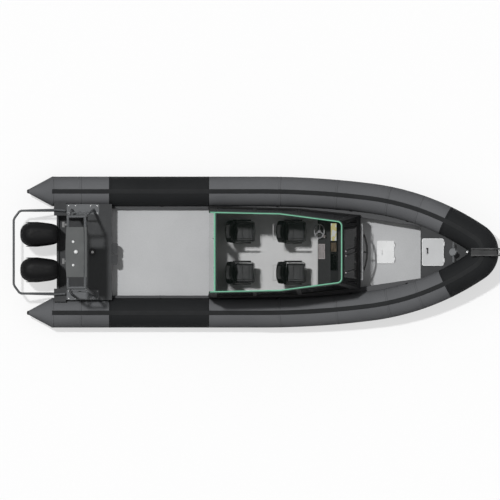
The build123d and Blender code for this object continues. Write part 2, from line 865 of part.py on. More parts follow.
def ball(at, r):
    with Locations(at):
        Sphere(r)


# Arch over the engines: two portals joined at the top, on base plates
arch_r = 30.0
arch_top = 2540.0
arch_half = inner_half - 228.0
arch_foot = inner_half - 81.0
arch_aft = ((-4048.0, arch_foot), (-4136.0, arch_half))
arch_fore = ((-3570.0, arch_foot), (-3758.0, arch_half))
foot_z = aft_deck_z + 14.0
arch_brace = 0.42
with BuildPart() as arch:
    for side in (1, -1):
        brace = []
        for foot, head in (arch_aft, arch_fore):
            low = (foot[0], side * foot[1], foot_z)
            high = (head[0], side * head[1], arch_top)
            drop = [a - 0.02 * (b - a) for a, b in zip(low, high)]
            rod(drop, high, arch_r)
            ball(high, arch_r)
            brace.append([a + arch_brace * (b - a) for a, b in zip(low, high)])
        rod(brace[0], brace[1], arch_r - 11)
        rod((arch_aft[1][0], side * arch_half, arch_top), (arch_fore[1][0], side * arch_half, arch_top), arch_r)
    for foot, head in (arch_aft, arch_fore):
        rod((head[0], -arch_half, arch_top), (head[0], arch_half, arch_top), arch_r)
    with Locations((-3800, 0, foot_z - 500)):
        Box(1400, 4000, 1000, mode=Mode.SUBTRACT)
    with BuildSketch(Plane.XY.offset(aft_deck_z)):
        for side in (1, -1):
            with Locations((-3808, side * (arch_foot + 11))):
                RectangleRounded(715, 226, 16)
    extrude(amount=foot_z - aft_deck_z)
keep(arch, "arch_frame")

# Radar panel on the arch, its ends bowed a little, with a cable cover before it
panel_z = arch_top + arch_r
panel_t = 26.0
panel_half = arch_half - 233.0
panel_aft = arch_aft[1][0] - 34.0
panel_fore = arch_fore[1][0] - 37.0
with BuildPart() as arch_panel:
    with BuildSketch(Plane.XY.offset(panel_z)):
        with BuildLine():
            Line((panel_aft, panel_half), (panel_fore, panel_half))
            ThreePointArc((panel_fore, panel_half), (panel_fore + 12, 0), (panel_fore, -panel_half))
            Line((panel_fore, -panel_half), (panel_aft, -panel_half))
            ThreePointArc((panel_aft, -panel_half), (panel_aft - 22, 0), (panel_aft, panel_half))
        make_face()
    extrude(amount=panel_t)
    with BuildSketch(Plane.XY.offset(panel_z)):
        with Locations((arch_fore[1][0] + 10, 0)):
            Rectangle(46, 2 * panel_half + 10)
    extrude(amount=18)
keep(arch_panel, "arch_panel")

dome_rows = ((-4022.0, 227.0, 30.0, 34.0), (-3962.0, 4.0, 46.0, 62.0), (-4022.0, -288.0, 30.0, 34.0))
with BuildPart() as domes:
    for x, y, r, high in dome_rows:
        with BuildSketch(Plane(origin=(x, y, panel_z + panel_t), x_dir=(1, 0, 0), z_dir=(0, -1, 0))) as profile:
            Polygon(
                (0, 0),
                (r, 0),
                (r * 0.96, high * 0.4),
                (r * 0.78, high * 0.76),
                (r * 0.4, high * 0.97),
                (0, high),
                align=None,
            )
        revolve(profile.sketch, axis=Axis((x, y, panel_z), (0, 0, 1)))
keep(domes, "antenna_domes")

lamp_rows = ((-4215.0, arch_half - 177.0), (-4215.0, -200.0))
with BuildPart() as lamps:
    for x, y in lamp_rows:
        with Locations((x - 24, y, arch_top + 6)):
            Box(52, 120, 76)
        with Locations(((x + arch_aft[1][0]) / 2, y, arch_top)):
            Box(arch_aft[1][0] - x, 40, 20)
    with Locations((arch_aft[1][0], 0, arch_top)):
        Cylinder(arch_r + 0.2, 2 * arch_half, rotation=(90, 0, 0), mode=Mode.SUBTRACT)
keep(lamps, "work_lamps")

# Guard rail round the engines
rail_z = 775.0
rail_r = 25.0
guard_aft = -5331.0
guard_half = (
    (wing_end_x - 12, inner_half - 98),
    (wing_x, inner_half - 81),
    (-5165, inner_half - 101),
    (-5210, inner_half - 123),
    (-5308, inner_half - 255),
    (guard_aft, inner_half - 311),
)
with BuildPart() as guard:
    with BuildLine(Plane.XY.offset(rail_z)) as guard_path:
        Polyline(*guard_half, *[(x, -y) for x, y in reversed(guard_half)])
    with BuildSketch(Plane(origin=guard_path.line @ 0, z_dir=guard_path.line % 0)):
        Circle(rail_r)
    sweep(transition=Transition.RIGHT)
    for side in (1, -1):
        with BuildSketch(Plane.XY.offset(aft_deck_z)) as post_foot:
            with Locations((wing_end_x - 24, side * (inner_half - 97.5))):
                Rectangle(34, 34)
        extrude(post_foot.sketch, amount=rail_z - aft_deck_z)
        post_y = side * (inner_half - 83)
        strut_y = side * (inner_half - 105)
        rod((-4405, post_y, aft_deck_z), (-4405, post_y, rail_z), rail_r - 3)
        rod((-5150, strut_y, rail_z), (transom_x - 16, strut_y, 340), rail_r - 6)
        with Locations((transom_x - 5, strut_y, 345)):
            Box(10, 90, 130)
keep(guard, "guard_rail")

# Round tow post on the aft deck
tow_x = well_x + 110.0
with BuildPart() as tow:
    with BuildSketch(Plane(origin=(tow_x, 2, aft_deck_z), x_dir=(1, 0, 0), z_dir=(0, -1, 0))):
        with BuildLine():
            Polyline(
                (0, 0), (77, 0), (77, 14), (44, 14), (44, 150), (62, 166), (62, 182), (36, 196), (0, 196), close=True
            )
        make_face()
    revolve(axis=Axis((tow_x, 2, 0), (0, 0, 1)))
keep(tow, "tow_post")

# Two rounded lockers against the front of the aft deck
with BuildPart() as vents:
    with BuildSketch(Plane.XY.offset(aft_deck_z - 220)):
        for y in (85, -165):
            with Locations((aft_deck_x + 65, y)):
                RectangleRounded(130, 236, 44)
    extrude(amount=200)
keep(vents, "deck_vents")

# Mooring post with a cross bar, on the bow deck
post_x = nose_x - 996.0
with BuildPart() as bitt:
    with BuildSketch(Plane.XY.offset(bow_deck_z)):
        with Locations((post_x, 0)):
            Circle(88)
    extrude(amount=14)
    with BuildSketch(Plane.XY.offset(bow_deck_z)):
        with Locations((post_x, 0)):
            Circle(58)
    extrude(amount=320)
    with BuildSketch(Plane.XY.offset(bow_deck_z + 260)):
        with Locations((post_x, 0)):
            Circle(65)
    extrude(amount=60)
    with Locations((post_x, 0, bow_deck_z + 235)):
        Cylinder(12, 440, rotation=(90, 0, 0))
keep(bitt, "mooring_post")

# Channel over the nose with its roller
roller_x = nose_x + 56.0
nose_top = collar_point(nose_x - 334)[1] + tube_r
channel_z = nose_top + 22.0
channel_aft = nose_x - 604.0
channel_end = nose_x + 100.0
channel_floor = nose_x - 34.0
cheek_t = 30.0
channel_in = 58.0
roller_r = 46.0
with BuildPart() as channel:
    with BuildSketch(Plane.XZ.offset(-channel_in - cheek_t)):
        with BuildLine():
            Polyline(
                (channel_aft, channel_z),
                (channel_aft, channel_z + 50),
                (channel_end - 204, channel_z + 95),
                (channel_end - 34, channel_z + 95),
                (channel_end, channel_z + 60),
                (channel_end, channel_z + 10),
                (channel_end - 34, channel_z - 20),
                (channel_end - 104, channel_z),
                close=True,
            )
        make_face()
    extrude(amount=cheek_t)
    mirror(about=Plane.XZ)
    with Locations(((channel_aft + channel_floor) / 2, 0, channel_z + 6)):
        Box(channel_floor - channel_aft, 2 * channel_in + 2, 12)
    with Locations(((channel_aft + 16), 0, (bow_deck_z + channel_z) / 2)):
        Box(32, 150, channel_z - bow_deck_z)
    with Locations((roller_x, 0, channel_z + 40)):
        Cylinder(10, 2 * channel_in + 2 * cheek_t, rotation=(90, 0, 0))
    for length_cut in collar_cuts:
        add(length_cut, mode=Mode.SUBTRACT)
keep(channel, "bow_channel")

with BuildPart() as roller:
    with BuildSketch(Plane(origin=(roller_x, 0, channel_z + 40), x_dir=(0, 1, 0), z_dir=(1, 0, 0))):
        with BuildLine():
            Polyline(
                (-channel_in + 6, 10 + run_gap),
                (-channel_in + 6, roller_r),
                (-14, roller_r - 20),
                (14, roller_r - 20),
                (channel_in - 6, roller_r),
                (channel_in - 6, 10 + run_gap),
                close=True,
            )
        make_face()
    revolve(axis=Axis((roller_x, 0, channel_z + 40), (0, 1, 0)))
keep(roller, "bow_roller")

with BuildPart() as bow_light:
    with Locations((nose_x - 688, 0, bow_deck_z + 30)):
        Cylinder(22, 60)
keep(bow_light, "bow_light")

# Bowed grab rail ahead of the cabin and a straight one under the windscreen
grab_half = (
    (cabin_front_x, 432),
    (2336, 432),
    (2356, 416),
    (2404, 300),
    (2436, 150),
    (2444, 30),
)
with BuildPart() as grab:
    with BuildLine(Plane.XY.offset(980)) as grab_path:
        Polyline(*grab_half, *[(x, -y) for x, y in reversed(grab_half)])
    with BuildSketch(Plane(origin=grab_path.line @ 0, z_dir=grab_path.line % 0)):
        Circle(20)
    sweep(transition=Transition.RIGHT)
    rod((cabin_front_x, 0, 980), (2444, 0, 980), 16)
    rod((cabin_front_x + 36, 620, 1120), (cabin_front_x + 36, -620, 1120), 11)
    for y in (600, 0, -600):
        rod((cabin_front_x, y, 1120), (cabin_front_x + 36, y, 1120), 9)
keep(grab, "front_rail")

# Deck hatches: lid, two hinges on the forward edge, lift handle on the aft edge
def hatch(rows, z, corner, name, reach):
    aft, fore, half = rows
    lid_z = z + 6.0
    lid_t = 26.0
    pin_x = fore + 16.0
    pin_z = lid_z + lid_t - 6.0
    with BuildPart() as lid:
        with BuildSketch(Plane.XY.offset(lid_z)) as face:
            with Locations(((aft + fore) / 2, 0)):
                RectangleRounded(fore - aft, 2 * half, corner)
        extrude(face.sketch, amount=lid_t)
        for side in (1, -1):
            with Locations((pin_x, side * reach, pin_z)):
                Cylinder(11, 60, rotation=(90, 0, 0))
            with Locations(((fore + pin_x) / 2 - 6, side * reach, pin_z)):
                Box(pin_x - fore + 12, 50, 10)
            with Locations((pin_x, side * reach, pin_z)):
                Cylinder(pin_r + run_gap, 62, rotation=(90, 0, 0), mode=Mode.SUBTRACT)
        grip_z = lid_z + lid_t
        rod((aft + 105, -55, grip_z + 26), (aft + 105, 55, grip_z + 26), 8)
        for side in (1, -1):
            rod((aft + 105, side * 47, grip_z - 2), (aft + 105, side * 47, grip_z + 26), 8)
    keep(lid, name + "_lid")
    with BuildPart() as ears:
        for side in (1, -1):
            for out in (1, -1):
                y = side * reach + out * (30 + 6 + 6)
                with Locations((pin_x, y, (z + pin_z) / 2 + 5)):
                    Box(22, 12, pin_z - z + 10)
            with Locations((pin_x, side * reach, pin_z)):
                Cylinder(pin_r, 2 * 48, rotation=(90, 0, 0))
    return ears.part, pin_x, pin_z


fore_pin = hatch(fore_lid, deck_z, 30, "fore_hatch", 150)
bow_pin = hatch(bow_lid, bow_deck_z, 40, "bow_hatch", 180)
with BuildPart() as hinges:
    add(door_ears.part)
    add(fore_pin[0])
    add(bow_pin[0])
keep(hinges, "hinge_pins")

# Outboard engines
ear_in = 95.0
ear_thick = 25.0
tube_pin_r = 22.0
post_r = 25.0
housing_r = 48.0
housing_low = 0.0
housing_top = 300.0
with BuildPart() as brackets:
    for side in (1, -1):
        for out in (1, -1):
            y = side * engine_half + out * (ear_in + ear_thick / 2)
            with BuildSketch(Plane.XZ.offset(-y - ear_thick / 2)):
                with BuildLine():
                    Polyline(
                        (-4445, 60),
                        (transom_x, 60),
                        (transom_x, transom_top),
                        (transom_x + transom_t, transom_top),
                        (transom_x + transom_t, 215),
                        (-4312, 215),
                        (-4312, 365),
                        (-4352, 394),
                        (-4445, 394),
                        close=True,
                    )
                make_face()
            extrude(amount=ear_thick)
        with Locations((tilt_x, side * engine_half, tilt_z)):
            Cylinder(tube_pin_r, 2 * (ear_in + ear_thick), rotation=(90, 0, 0))
keep(brackets, "engine_brackets")


def cowl_outline(x0, x1, half, nose, tail):
    """Plan of the cowl: round-sided, square at the tail, narrower at the front."""
    wide_x = x0 + 0.44 * (x1 - x0)
    dx = wide_x - x0
    dy = half - tail
    r = (dx**2 + dy**2) / (2 * dy)
    part_turn = asin(dx / r) / 2
    with BuildLine() as outline:
        Line((x0, 0), (x0, tail))
        ThreePointArc(
            (x0, tail),
            (wide_x - r * sin(part_turn), half - r + r * cos(part_turn)),
            (wide_x, half),
        )
        Line((wide_x, half), (x1 - 90, nose))
        ThreePointArc((x1 - 90, nose), (x1 - 24, nose - 32), (x1, nose - 95))
        Line((x1, nose - 95), (x1, 0))
        mirror(about=Plane.XZ)
    make_face(outline.edges())


def foil(x0, x1, half, mid):
    """Flat-sided streamlined section of a leg, blunt ahead and sharp behind."""
    long = x1 - x0
    rows = ((0, 0.12), (0.3, 0.8), (0.6, 1.0), (0.85, 0.8), (1.0, 0.3))
    side = [(x0 + a * long, b * half) for a, b in rows]
    Polygon(*[(x, mid + y) for x, y in side], *[(x, mid - y) for x, y in reversed(side)], align=None)


cowl_rows = (
    # z, aft x, fore x, widest, front, tail half breadths
    (cowl_low_z, cowl_aft_x + 60, cowl_front_x - 10, cowl_half - 40, 180.0, 80.0),
    (cowl_low_z + 70, cowl_aft_x + 22, cowl_front_x, cowl_half - 10, 202.0, 90.0),
    (cowl_low_z + 250, cowl_aft_x, cowl_front_x, cowl_half, 206.0, 95.0),
    (cowl_low_z + 420, cowl_aft_x + 16, cowl_front_x - 6, cowl_half - 12, 196.0, 90.0),
    (cowl_low_z + 515, cowl_aft_x + 60, cowl_front_x - 40, cowl_half - 55, 165.0, 70.0),
    (cowl_top_z, cowl_aft_x + 130, cowl_front_x - 110, cowl_half - 120, 125.0, 45.0),
)
leg_x0 = -4795.0
leg_x1 = -4605.0
plate_z = -385.0
hub_x = -4855.0
for side, word in sides.items():
    mid = side * engine_half
    with BuildPart() as swivel:
        with Locations((tilt_x, mid, tilt_z)):
            Cylinder(42, 2 * (ear_in - 7), rotation=(90, 0, 0))
        with Locations((swivel_x, mid, (housing_low + housing_top) / 2)):
            Cylinder(housing_r, housing_top - housing_low)
        with BuildSketch(Plane.XZ.offset(-mid - 30)):
            with BuildLine():
                Polyline(
                    (swivel_x, 130),
                    (swivel_x, 299),
                    (-4478, 299),
                    (-4478, 350),
                    (tilt_x, 350),
                    (tilt_x - 20, 290),
                    (-4470, 130),
                    close=True,
                )
            make_face()
        extrude(amount=60)
        with Locations((tilt_x, mid, tilt_z)):
            Cylinder(tube_pin_r + run_gap, 300, rotation=(90, 0, 0), mode=Mode.SUBTRACT)
        with Locations((swivel_x, mid, 150)):
            Cylinder(post_r + run_gap, 400, mode=Mode.SUBTRACT)
    keep(swivel, "swivel_bracket_" + word)

    with BuildPart() as cowl:
        for z, x0, x1, half, nose, tail in cowl_rows:
            with BuildSketch(Plane.XY.offset(z)):
                cowl_outline(x0, x1, half, nose, tail)
        loft(ruled=True)
    cowl_at = Pos(0, mid, 0) * cowl.part
    cowl_at.label = "engine_cowl_" + word
    export_step(cowl_at, "parts/engine_cowl_" + word + ".step")

    with BuildPart() as leg:
        # Steering post with its two yokes
        with Locations((swivel_x, mid, (housing_low + housing_top) / 2)):
            Cylinder(post_r, housing_top - housing_low + 90)
        for z in (housing_top + 6 + 19.5, housing_low - 6 - 19.5):
            with Locations((swivel_x, mid, z)):
                Cylinder(46, 39)
            with Locations(((swivel_x + leg_x1) / 2 - 10, mid, z)):
                Box(swivel_x - leg_x1 + 20, 76, 39)
        # Mid section
        with BuildSketch(Plane.XY.offset(plate_z)):
            foil(leg_x0, leg_x1, 58, mid)
        extrude(amount=housing_top + 60 - plate_z)
        with BuildSketch(Plane.XY.offset(housing_top + 50)):
            foil(-4960, -4500, 140, mid)
        extrude(amount=cowl_low_z - housing_top - 50)
        # Plate over the propeller
        with BuildSketch(Plane.XY.offset(plate_z - 8)):
            with BuildLine():
                Polyline(
                    (-4590, mid - 50), (-4590, mid + 50), (-4720, mid + 120), (-5010, mid + 115),
                    (-5040, mid + 80), (-5040, mid - 80), (-5010, mid - 115), (-4720, mid - 120), close=True
                )
            make_face()
        extrude(amount=16)
        # Lower strut, gear case and fin
        with BuildSketch(Plane.XY.offset(prop_z)):
            foil(-4820, -4600, 34, mid)
        extrude(amount=plate_z - prop_z)
        with BuildSketch(Plane(origin=(0, mid, prop_z), x_dir=(1, 0, 0), z_dir=(0, -1, 0))):
            with BuildLine():
                Line((-4548, 0), (hub_x, 0))
                Polyline((hub_x, 0), (hub_x, 55), (-4650, 62), (-4600, 54), (-4565, 34), (-4548, 0))
            make_face()
        revolve(axis=Axis((0, mid, prop_z), (1, 0, 0)))
        with BuildSketch(Plane.XZ.offset(-mid - 7)):
            with BuildLine():
                Polyline((-4600, prop_z - 30), (-4690, -815), (-4800, -830), (-4830, prop_z - 30), close=True)
            make_face()
        extrude(amount=14)
        with Locations(((hub_x - 55), mid, prop_z)):
            Cylinder(15, 120, rotation=(0, 90, 0))
    keep(leg, "engine_leg_" + word)

    with BuildPart() as prop:
        with BuildSketch(Plane(origin=(0, mid, prop_z), x_dir=(1, 0, 0), z_dir=(0, -1, 0))):
            with BuildLine():
                Polyline(
                    (hub_x - 6, 0), (hub_x - 6, 54), (hub_x - 100, 50), (hub_x - 118, 30), (hub_x - 122, 0), close=True
                )
            make_face()
        revolve(axis=Axis((0, mid, prop_z), (1, 0, 0)))
        for turn in (0, 120, 240):
            up = Vector(0, sin(radians(turn)), cos(radians(turn)))
            lean = radians(38)
            flat = Vector(0, cos(radians(turn)), -sin(radians(turn))) * cos(lean) + Vector(side * sin(lean), 0, 0)
            blade_plane = Plane(
                origin=Vector(prop_x, mid, prop_z) + up * 112,
                x_dir=flat,
                z_dir=flat.cross(up),
            )
            with BuildSketch(blade_plane.offset(-4)):
                Polygon(
                    (-22, -70), (22, -70), (48, -20), (56, 20), (46, 56), (22, 76), (-22, 76), (-46, 56), (-56, 20),
                    (-48, -20), align=None
                )
            extrude(amount=8)
        with Locations((hub_x - 60, mid, prop_z)):
            Cylinder(15 + run_gap, 120, rotation=(0, 90, 0), mode=Mode.SUBTRACT)
    keep(prop, "propeller_" + word)
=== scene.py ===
import json
from math import acos, cos, pi, radians, sin, tan

import bmesh
import bpy
from mathutils import Matrix, Vector
from mathutils.bvhtree import BVHTree


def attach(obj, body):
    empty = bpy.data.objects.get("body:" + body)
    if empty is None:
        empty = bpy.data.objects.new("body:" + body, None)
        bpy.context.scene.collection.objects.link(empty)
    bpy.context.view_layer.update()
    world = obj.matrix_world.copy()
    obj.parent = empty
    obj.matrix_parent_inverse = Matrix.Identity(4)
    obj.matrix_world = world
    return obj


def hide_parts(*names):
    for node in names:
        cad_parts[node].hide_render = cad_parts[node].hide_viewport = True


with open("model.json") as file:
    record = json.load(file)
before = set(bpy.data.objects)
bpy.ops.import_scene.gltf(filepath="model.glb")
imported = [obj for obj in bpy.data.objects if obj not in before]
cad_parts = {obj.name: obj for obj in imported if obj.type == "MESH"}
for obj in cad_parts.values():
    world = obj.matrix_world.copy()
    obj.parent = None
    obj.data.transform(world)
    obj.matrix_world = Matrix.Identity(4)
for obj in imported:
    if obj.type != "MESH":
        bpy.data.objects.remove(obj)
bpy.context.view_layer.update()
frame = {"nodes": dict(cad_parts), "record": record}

nodes = frame["nodes"]
UP, DOWN, FORWARD = Vector((0, 0, 1)), Vector((0, 0, -1)), Vector((1, 0, 0))
SIDES = (1, -1)
SIDE_NAMES = ((1, "port"), (-1, "starboard"))


# Colours and finishes
def shade(red, green=None, blue=None):
    """A screen colour from 0 to 255, as the linear colour that a shader takes."""

    def linear(value):
        value /= 255
        return value / 12.92 if value <= 0.04045 else ((value + 0.055) / 1.055) ** 2.4

    green = red if green is None else green
    blue = red if blue is None else blue
    return (linear(red), linear(green), linear(blue), 1)


def scaled(colour, factor):
    return tuple(min(c * factor, 1) for c in colour[:3]) + (1,)


def add_node(tree, kind, inputs=None, **settings):
    """A node with its settings; each input is a value, or the socket that feeds it."""
    made = tree.nodes.new(kind)
    for key, value in settings.items():
        setattr(made, key, value)
    for key, value in (inputs or {}).items():
        if isinstance(value, bpy.types.NodeSocket):
            tree.links.new(value, made.inputs[key])
        else:
            made.inputs[key].default_value = value
    return made


class Finish:
    """A material in the making: its Principled shader and the nodes that feed it."""

    def __init__(self, name, **sockets):
        self.material = bpy.data.materials.new(name)
        self.material.use_nodes = True
        self.tree = self.material.node_tree
        self.shader = self.tree.nodes["Principled BSDF"]
        for socket, value in sockets.items():
            self.shader.inputs[socket.replace("_", " ")].default_value = value
        self.at = self.node("ShaderNodeTexCoord").outputs["Object"]

    def node(self, kind, inputs=None, **settings):
        return add_node(self.tree, kind, inputs, **settings)

    def stretched(self, x, y, z):
        return self.node("ShaderNodeMapping", {"Vector": self.at, "Scale": (x, y, z)}).outputs[0]

    def noise(self, scale, detail, roughness=0.5, at=None):
        inputs = {"Vector": at or self.at, "Scale": scale, "Detail": detail, "Roughness": roughness}
        return self.node("ShaderNodeTexNoise", inputs).outputs[0]

    def cells(self, scale):
        return self.node("ShaderNodeTexVoronoi", {"Vector": self.at, "Scale": scale}).outputs["Distance"]

    def bands(self, scale, axis="X"):
        inputs = {"Vector": self.at, "Scale": scale}
        return self.node("ShaderNodeTexWave", inputs, bands_direction=axis).outputs["Fac"]

    def spread(self, value, low, high, out_low=0.0, out_high=1.0):
        inputs = {0: value, 1: low, 2: high, 3: out_low, 4: out_high}
        return self.node("ShaderNodeMapRange", inputs).outputs[0]

    def math(self, operation, a, b):
        return self.node("ShaderNodeMath", {0: a, 1: b}, operation=operation).outputs[0]

    def mixed(self, share, a, b, blend="MIX"):
        inputs = {0: share, 6: a, 7: b}
        return self.node("ShaderNodeMix", inputs, data_type="RGBA", blend_type=blend).outputs[2]

    def feed(self, socket, value):
        self.tree.links.new(value, self.shader.inputs[socket])
        return self

    def bump(self, height, distance, strength):
        inputs = {"Height": height, "Distance": distance, "Strength": strength}
        if self.shader.inputs["Normal"].is_linked:
            inputs["Normal"] = self.shader.inputs["Normal"].links[0].from_socket
        return self.feed("Normal", self.node("ShaderNodeBump", inputs).outputs[0])

    def zone(self, **limits):
        """1 inside a block of the boat's frame, 0 outside: limits such as x=(low, high).

        A low of None takes both sides of the boat, out to high.
        """
        axes = self.node("ShaderNodeSeparateXYZ", {0: self.at}).outputs
        inside = 1.0
        for axis, (low, high) in limits.items():
            value = axes[axis.upper()]
            if low is None:
                value = self.math("ABSOLUTE", value, 0.0)
            else:
                inside = self.math("MULTIPLY", inside, self.math("GREATER_THAN", value, low))
            inside = self.math("MULTIPLY", inside, self.math("LESS_THAN", value, high))
        return inside

    def mottled(self, tone, patch, amount, speck=60.0, speck_amount=0.05):
        """Base colour that wanders a little in large patches and in fine specks."""
        broad = self.spread(self.noise(patch, 4, 0.55), 0.3, 0.7, 1 - amount, 1 + amount)
        fine = self.spread(self.noise(speck, 2, 0.6), 0.3, 0.7, 1 - speck_amount, 1 + speck_amount)
        both = self.math("MULTIPLY", broad, fine)
        grey = self.node("ShaderNodeCombineColor", {0: both, 1: both, 2: both}).outputs[0]
        return self.mixed(1.0, tone, grey, "MULTIPLY")


def collar_fabric(name, tone):
    """Coated fabric of the collar: fine weave, faint chafe along its length, chalky patches."""
    made = Finish(name, Roughness=0.66, Specular_IOR_Level=0.06)
    chafe = made.noise(5, 5, 0.7, made.stretched(0.25, 2.2, 2.2))
    lighter = made.spread(chafe, 0.62, 0.8, 0.0, 0.35)
    made.feed("Base Color", made.mixed(lighter, made.mottled(tone, 0.9, 0.08), scaled(tone, 1.45)))
    made.feed("Roughness", made.spread(made.noise(3, 4, 0.6), 0.3, 0.7, 0.58, 0.74))
    weave = made.math("MAXIMUM", made.bands(95, "X"), made.bands(95, "Z"))
    made.bump(weave, 0.0004, 0.25)
    return made.bump(made.noise(2.2, 3, 0.5), 0.006, 0.25).material


def deck_grip(name, tone, inner=None, **limits):
    """Moulded deck with a grip of small raised dots and a little ground-in dirt.

    inner is the tone of the part inside the given limits.
    """
    made = Finish(name, Roughness=0.72, Specular_IOR_Level=0.2)
    dirt = made.spread(made.noise(2.5, 6, 0.65), 0.55, 0.8, 0.0, 0.22)
    clean = made.mottled(tone, 0.8, 0.04, 40, 0.04)
    if inner is not None:
        clean = made.mixed(made.zone(**limits), clean, inner)
    made.feed("Base Color", made.mixed(dirt, clean, scaled(tone, 0.8)))
    made.feed("Roughness", made.spread(made.noise(6, 4), 0.3, 0.7, 0.62, 0.82))
    dots = made.spread(made.cells(110), 0.15, 0.45, 1.0, 0.0)
    made.bump(dots, 0.0012, 0.5)
    return made.bump(made.noise(700, 2), 0.0004, 0.4).material


def paint(name, tone, rough, wear=0.1):
    """Satin paint: slight orange peel, dulled patches, faint runs of dried spray."""
    made = Finish(name, Roughness=rough, Specular_IOR_Level=0.35)
    runs = made.spread(made.noise(9, 4, 0.6, made.stretched(2, 2, 0.2)), 0.6, 0.85, 0.0, wear * 2)
    clean = made.mottled(tone, 1.6, 0.05, 90, 0.03)
    made.feed("Base Color", made.mixed(runs, clean, scaled(tone, 1.35)))
    made.feed("Roughness", made.spread(made.noise(4, 5), 0.3, 0.7, rough - 0.06, rough + 0.12))
    return made.bump(made.noise(160, 2), 0.0004, 0.25).material


def paint_with_painted_shade(name, tone, inner, **limits):
    """Satin paint with painted shade: a darker tone inside a block of the boat, where shade falls."""
    made = Finish(name, Roughness=0.5, Specular_IOR_Level=0.25)
    made.feed("Base Color", made.mixed(made.zone(**limits), made.mottled(tone, 1.6, 0.05), inner))
    return made.bump(made.noise(160, 2), 0.0004, 0.25).material


def alloy(name, tone, rough, metal):
    """Bare or anodised metal, brushed along the boat."""
    made = Finish(name, Roughness=rough, Metallic=metal, Specular_IOR_Level=0.5)
    brushed = made.noise(60, 4, 0.7, made.stretched(0.3, 4, 4))
    made.feed("Base Color", made.mottled(tone, 5, 0.06, 120, 0.04))
    made.feed("Roughness", made.spread(brushed, 0.3, 0.7, rough - 0.1, rough + 0.12))
    return made.bump(brushed, 0.0003, 0.2).material


def moulded(name, tone, rough, coat=0.0, grain=0.2, level=0.4):
    """Moulded plastic or gelcoat, with handling marks in the gloss."""
    made = Finish(name, Roughness=rough, Specular_IOR_Level=level, Coat_Weight=coat, Coat_Roughness=0.08)
    made.feed("Base Color", made.mottled(tone, 3, 0.04, 150, 0.02))
    handled = made.noise(14, 5, 0.7)
    made.feed("Roughness", made.spread(handled, 0.35, 0.75, rough - 0.04, rough + 0.14))
    return made.bump(made.noise(420, 2), 0.0003, grain).material


def rubber(name, tone):
    made = Finish(name, Roughness=0.8, Specular_IOR_Level=0.25)
    made.feed("Base Color", made.mottled(tone, 6, 0.12, 200, 0.08))
    return made.bump(made.noise(260, 3), 0.0005, 0.5).material


def ribbed(name, tone):
    """Tread strip: rubber with ribs across the collar."""
    made = Finish(name, Roughness=0.8, Specular_IOR_Level=0.25)
    made.feed("Base Color", made.mottled(tone, 4, 0.12, 200, 0.08))
    return made.bump(made.bands(26, "X"), 0.003, 0.8).material


def vinyl(name, tone):
    """Seat vinyl: pebbled grain, soft creases, a worn sheen."""
    made = Finish(name, Roughness=0.55, Specular_IOR_Level=0.3)
    made.feed("Base Color", made.mottled(tone, 7, 0.14, 220, 0.08))
    made.feed("Roughness", made.spread(made.noise(8, 4), 0.3, 0.7, 0.46, 0.66))
    made.bump(made.cells(520), 0.0006, 0.5)
    return made.bump(made.noise(26, 4, 0.6), 0.003, 0.35).material


def glass(name, tone, alpha, edge=None, level=0.5):
    """Thin glass; a panel's cut edge shows its own colour."""
    made = Finish(name, Roughness=0.04, Specular_IOR_Level=level, Alpha=alpha)
    smear = made.spread(made.noise(3, 5, 0.7), 0.55, 0.8)
    colour = made.mixed(smear, tone, scaled(tone, 1.25))
    made.feed("Roughness", made.spread(smear, 0.0, 1.0, 0.02, 0.12))
    if edge is not None:
        normal = made.node("ShaderNodeNewGeometry").outputs["True Normal"]
        flat = made.math("ABSOLUTE", made.node("ShaderNodeSeparateXYZ", {0: normal}).outputs["Z"], 0.0)
        made.feed("Alpha", made.spread(flat, 0.3, 0.6, 1.0, alpha))
        colour = made.mixed(made.spread(flat, 0.3, 0.6, 1.0, 0.0), tone, edge)
    return made.feed("Base Color", colour).material


def chart_display(name):
    """Plotter page: pale land, white shallows and a few depth lines, drawn by noise."""
    made = Finish(name, Roughness=0.2, Base_Color=shade(10), Emission_Strength=0.55)
    coast = made.noise(7, 4, 0.5)
    land = made.mixed(made.spread(coast, 0.5, 0.52), shade(238, 240, 236), shade(232, 222, 160))
    lines = made.math("PINGPONG", made.math("MULTIPLY", coast, 14.0), 0.5)
    drawn = made.mixed(made.spread(lines, 0.0, 0.07, 0.5, 0.0), land, shade(120, 140, 140))
    return made.feed("Emission Color", drawn).material


def sounder_display(name):
    """Sounder page: warm layers under a pale band."""
    made = Finish(name, Roughness=0.2, Base_Color=shade(10), Emission_Strength=0.3)
    layers = made.spread(made.noise(16, 5, 0.7, made.stretched(1, 0.2, 1)), 0.4, 0.62)
    drawn = made.mixed(layers, shade(150, 132, 110), shade(78, 66, 54))
    return made.feed("Emission Color", drawn).material
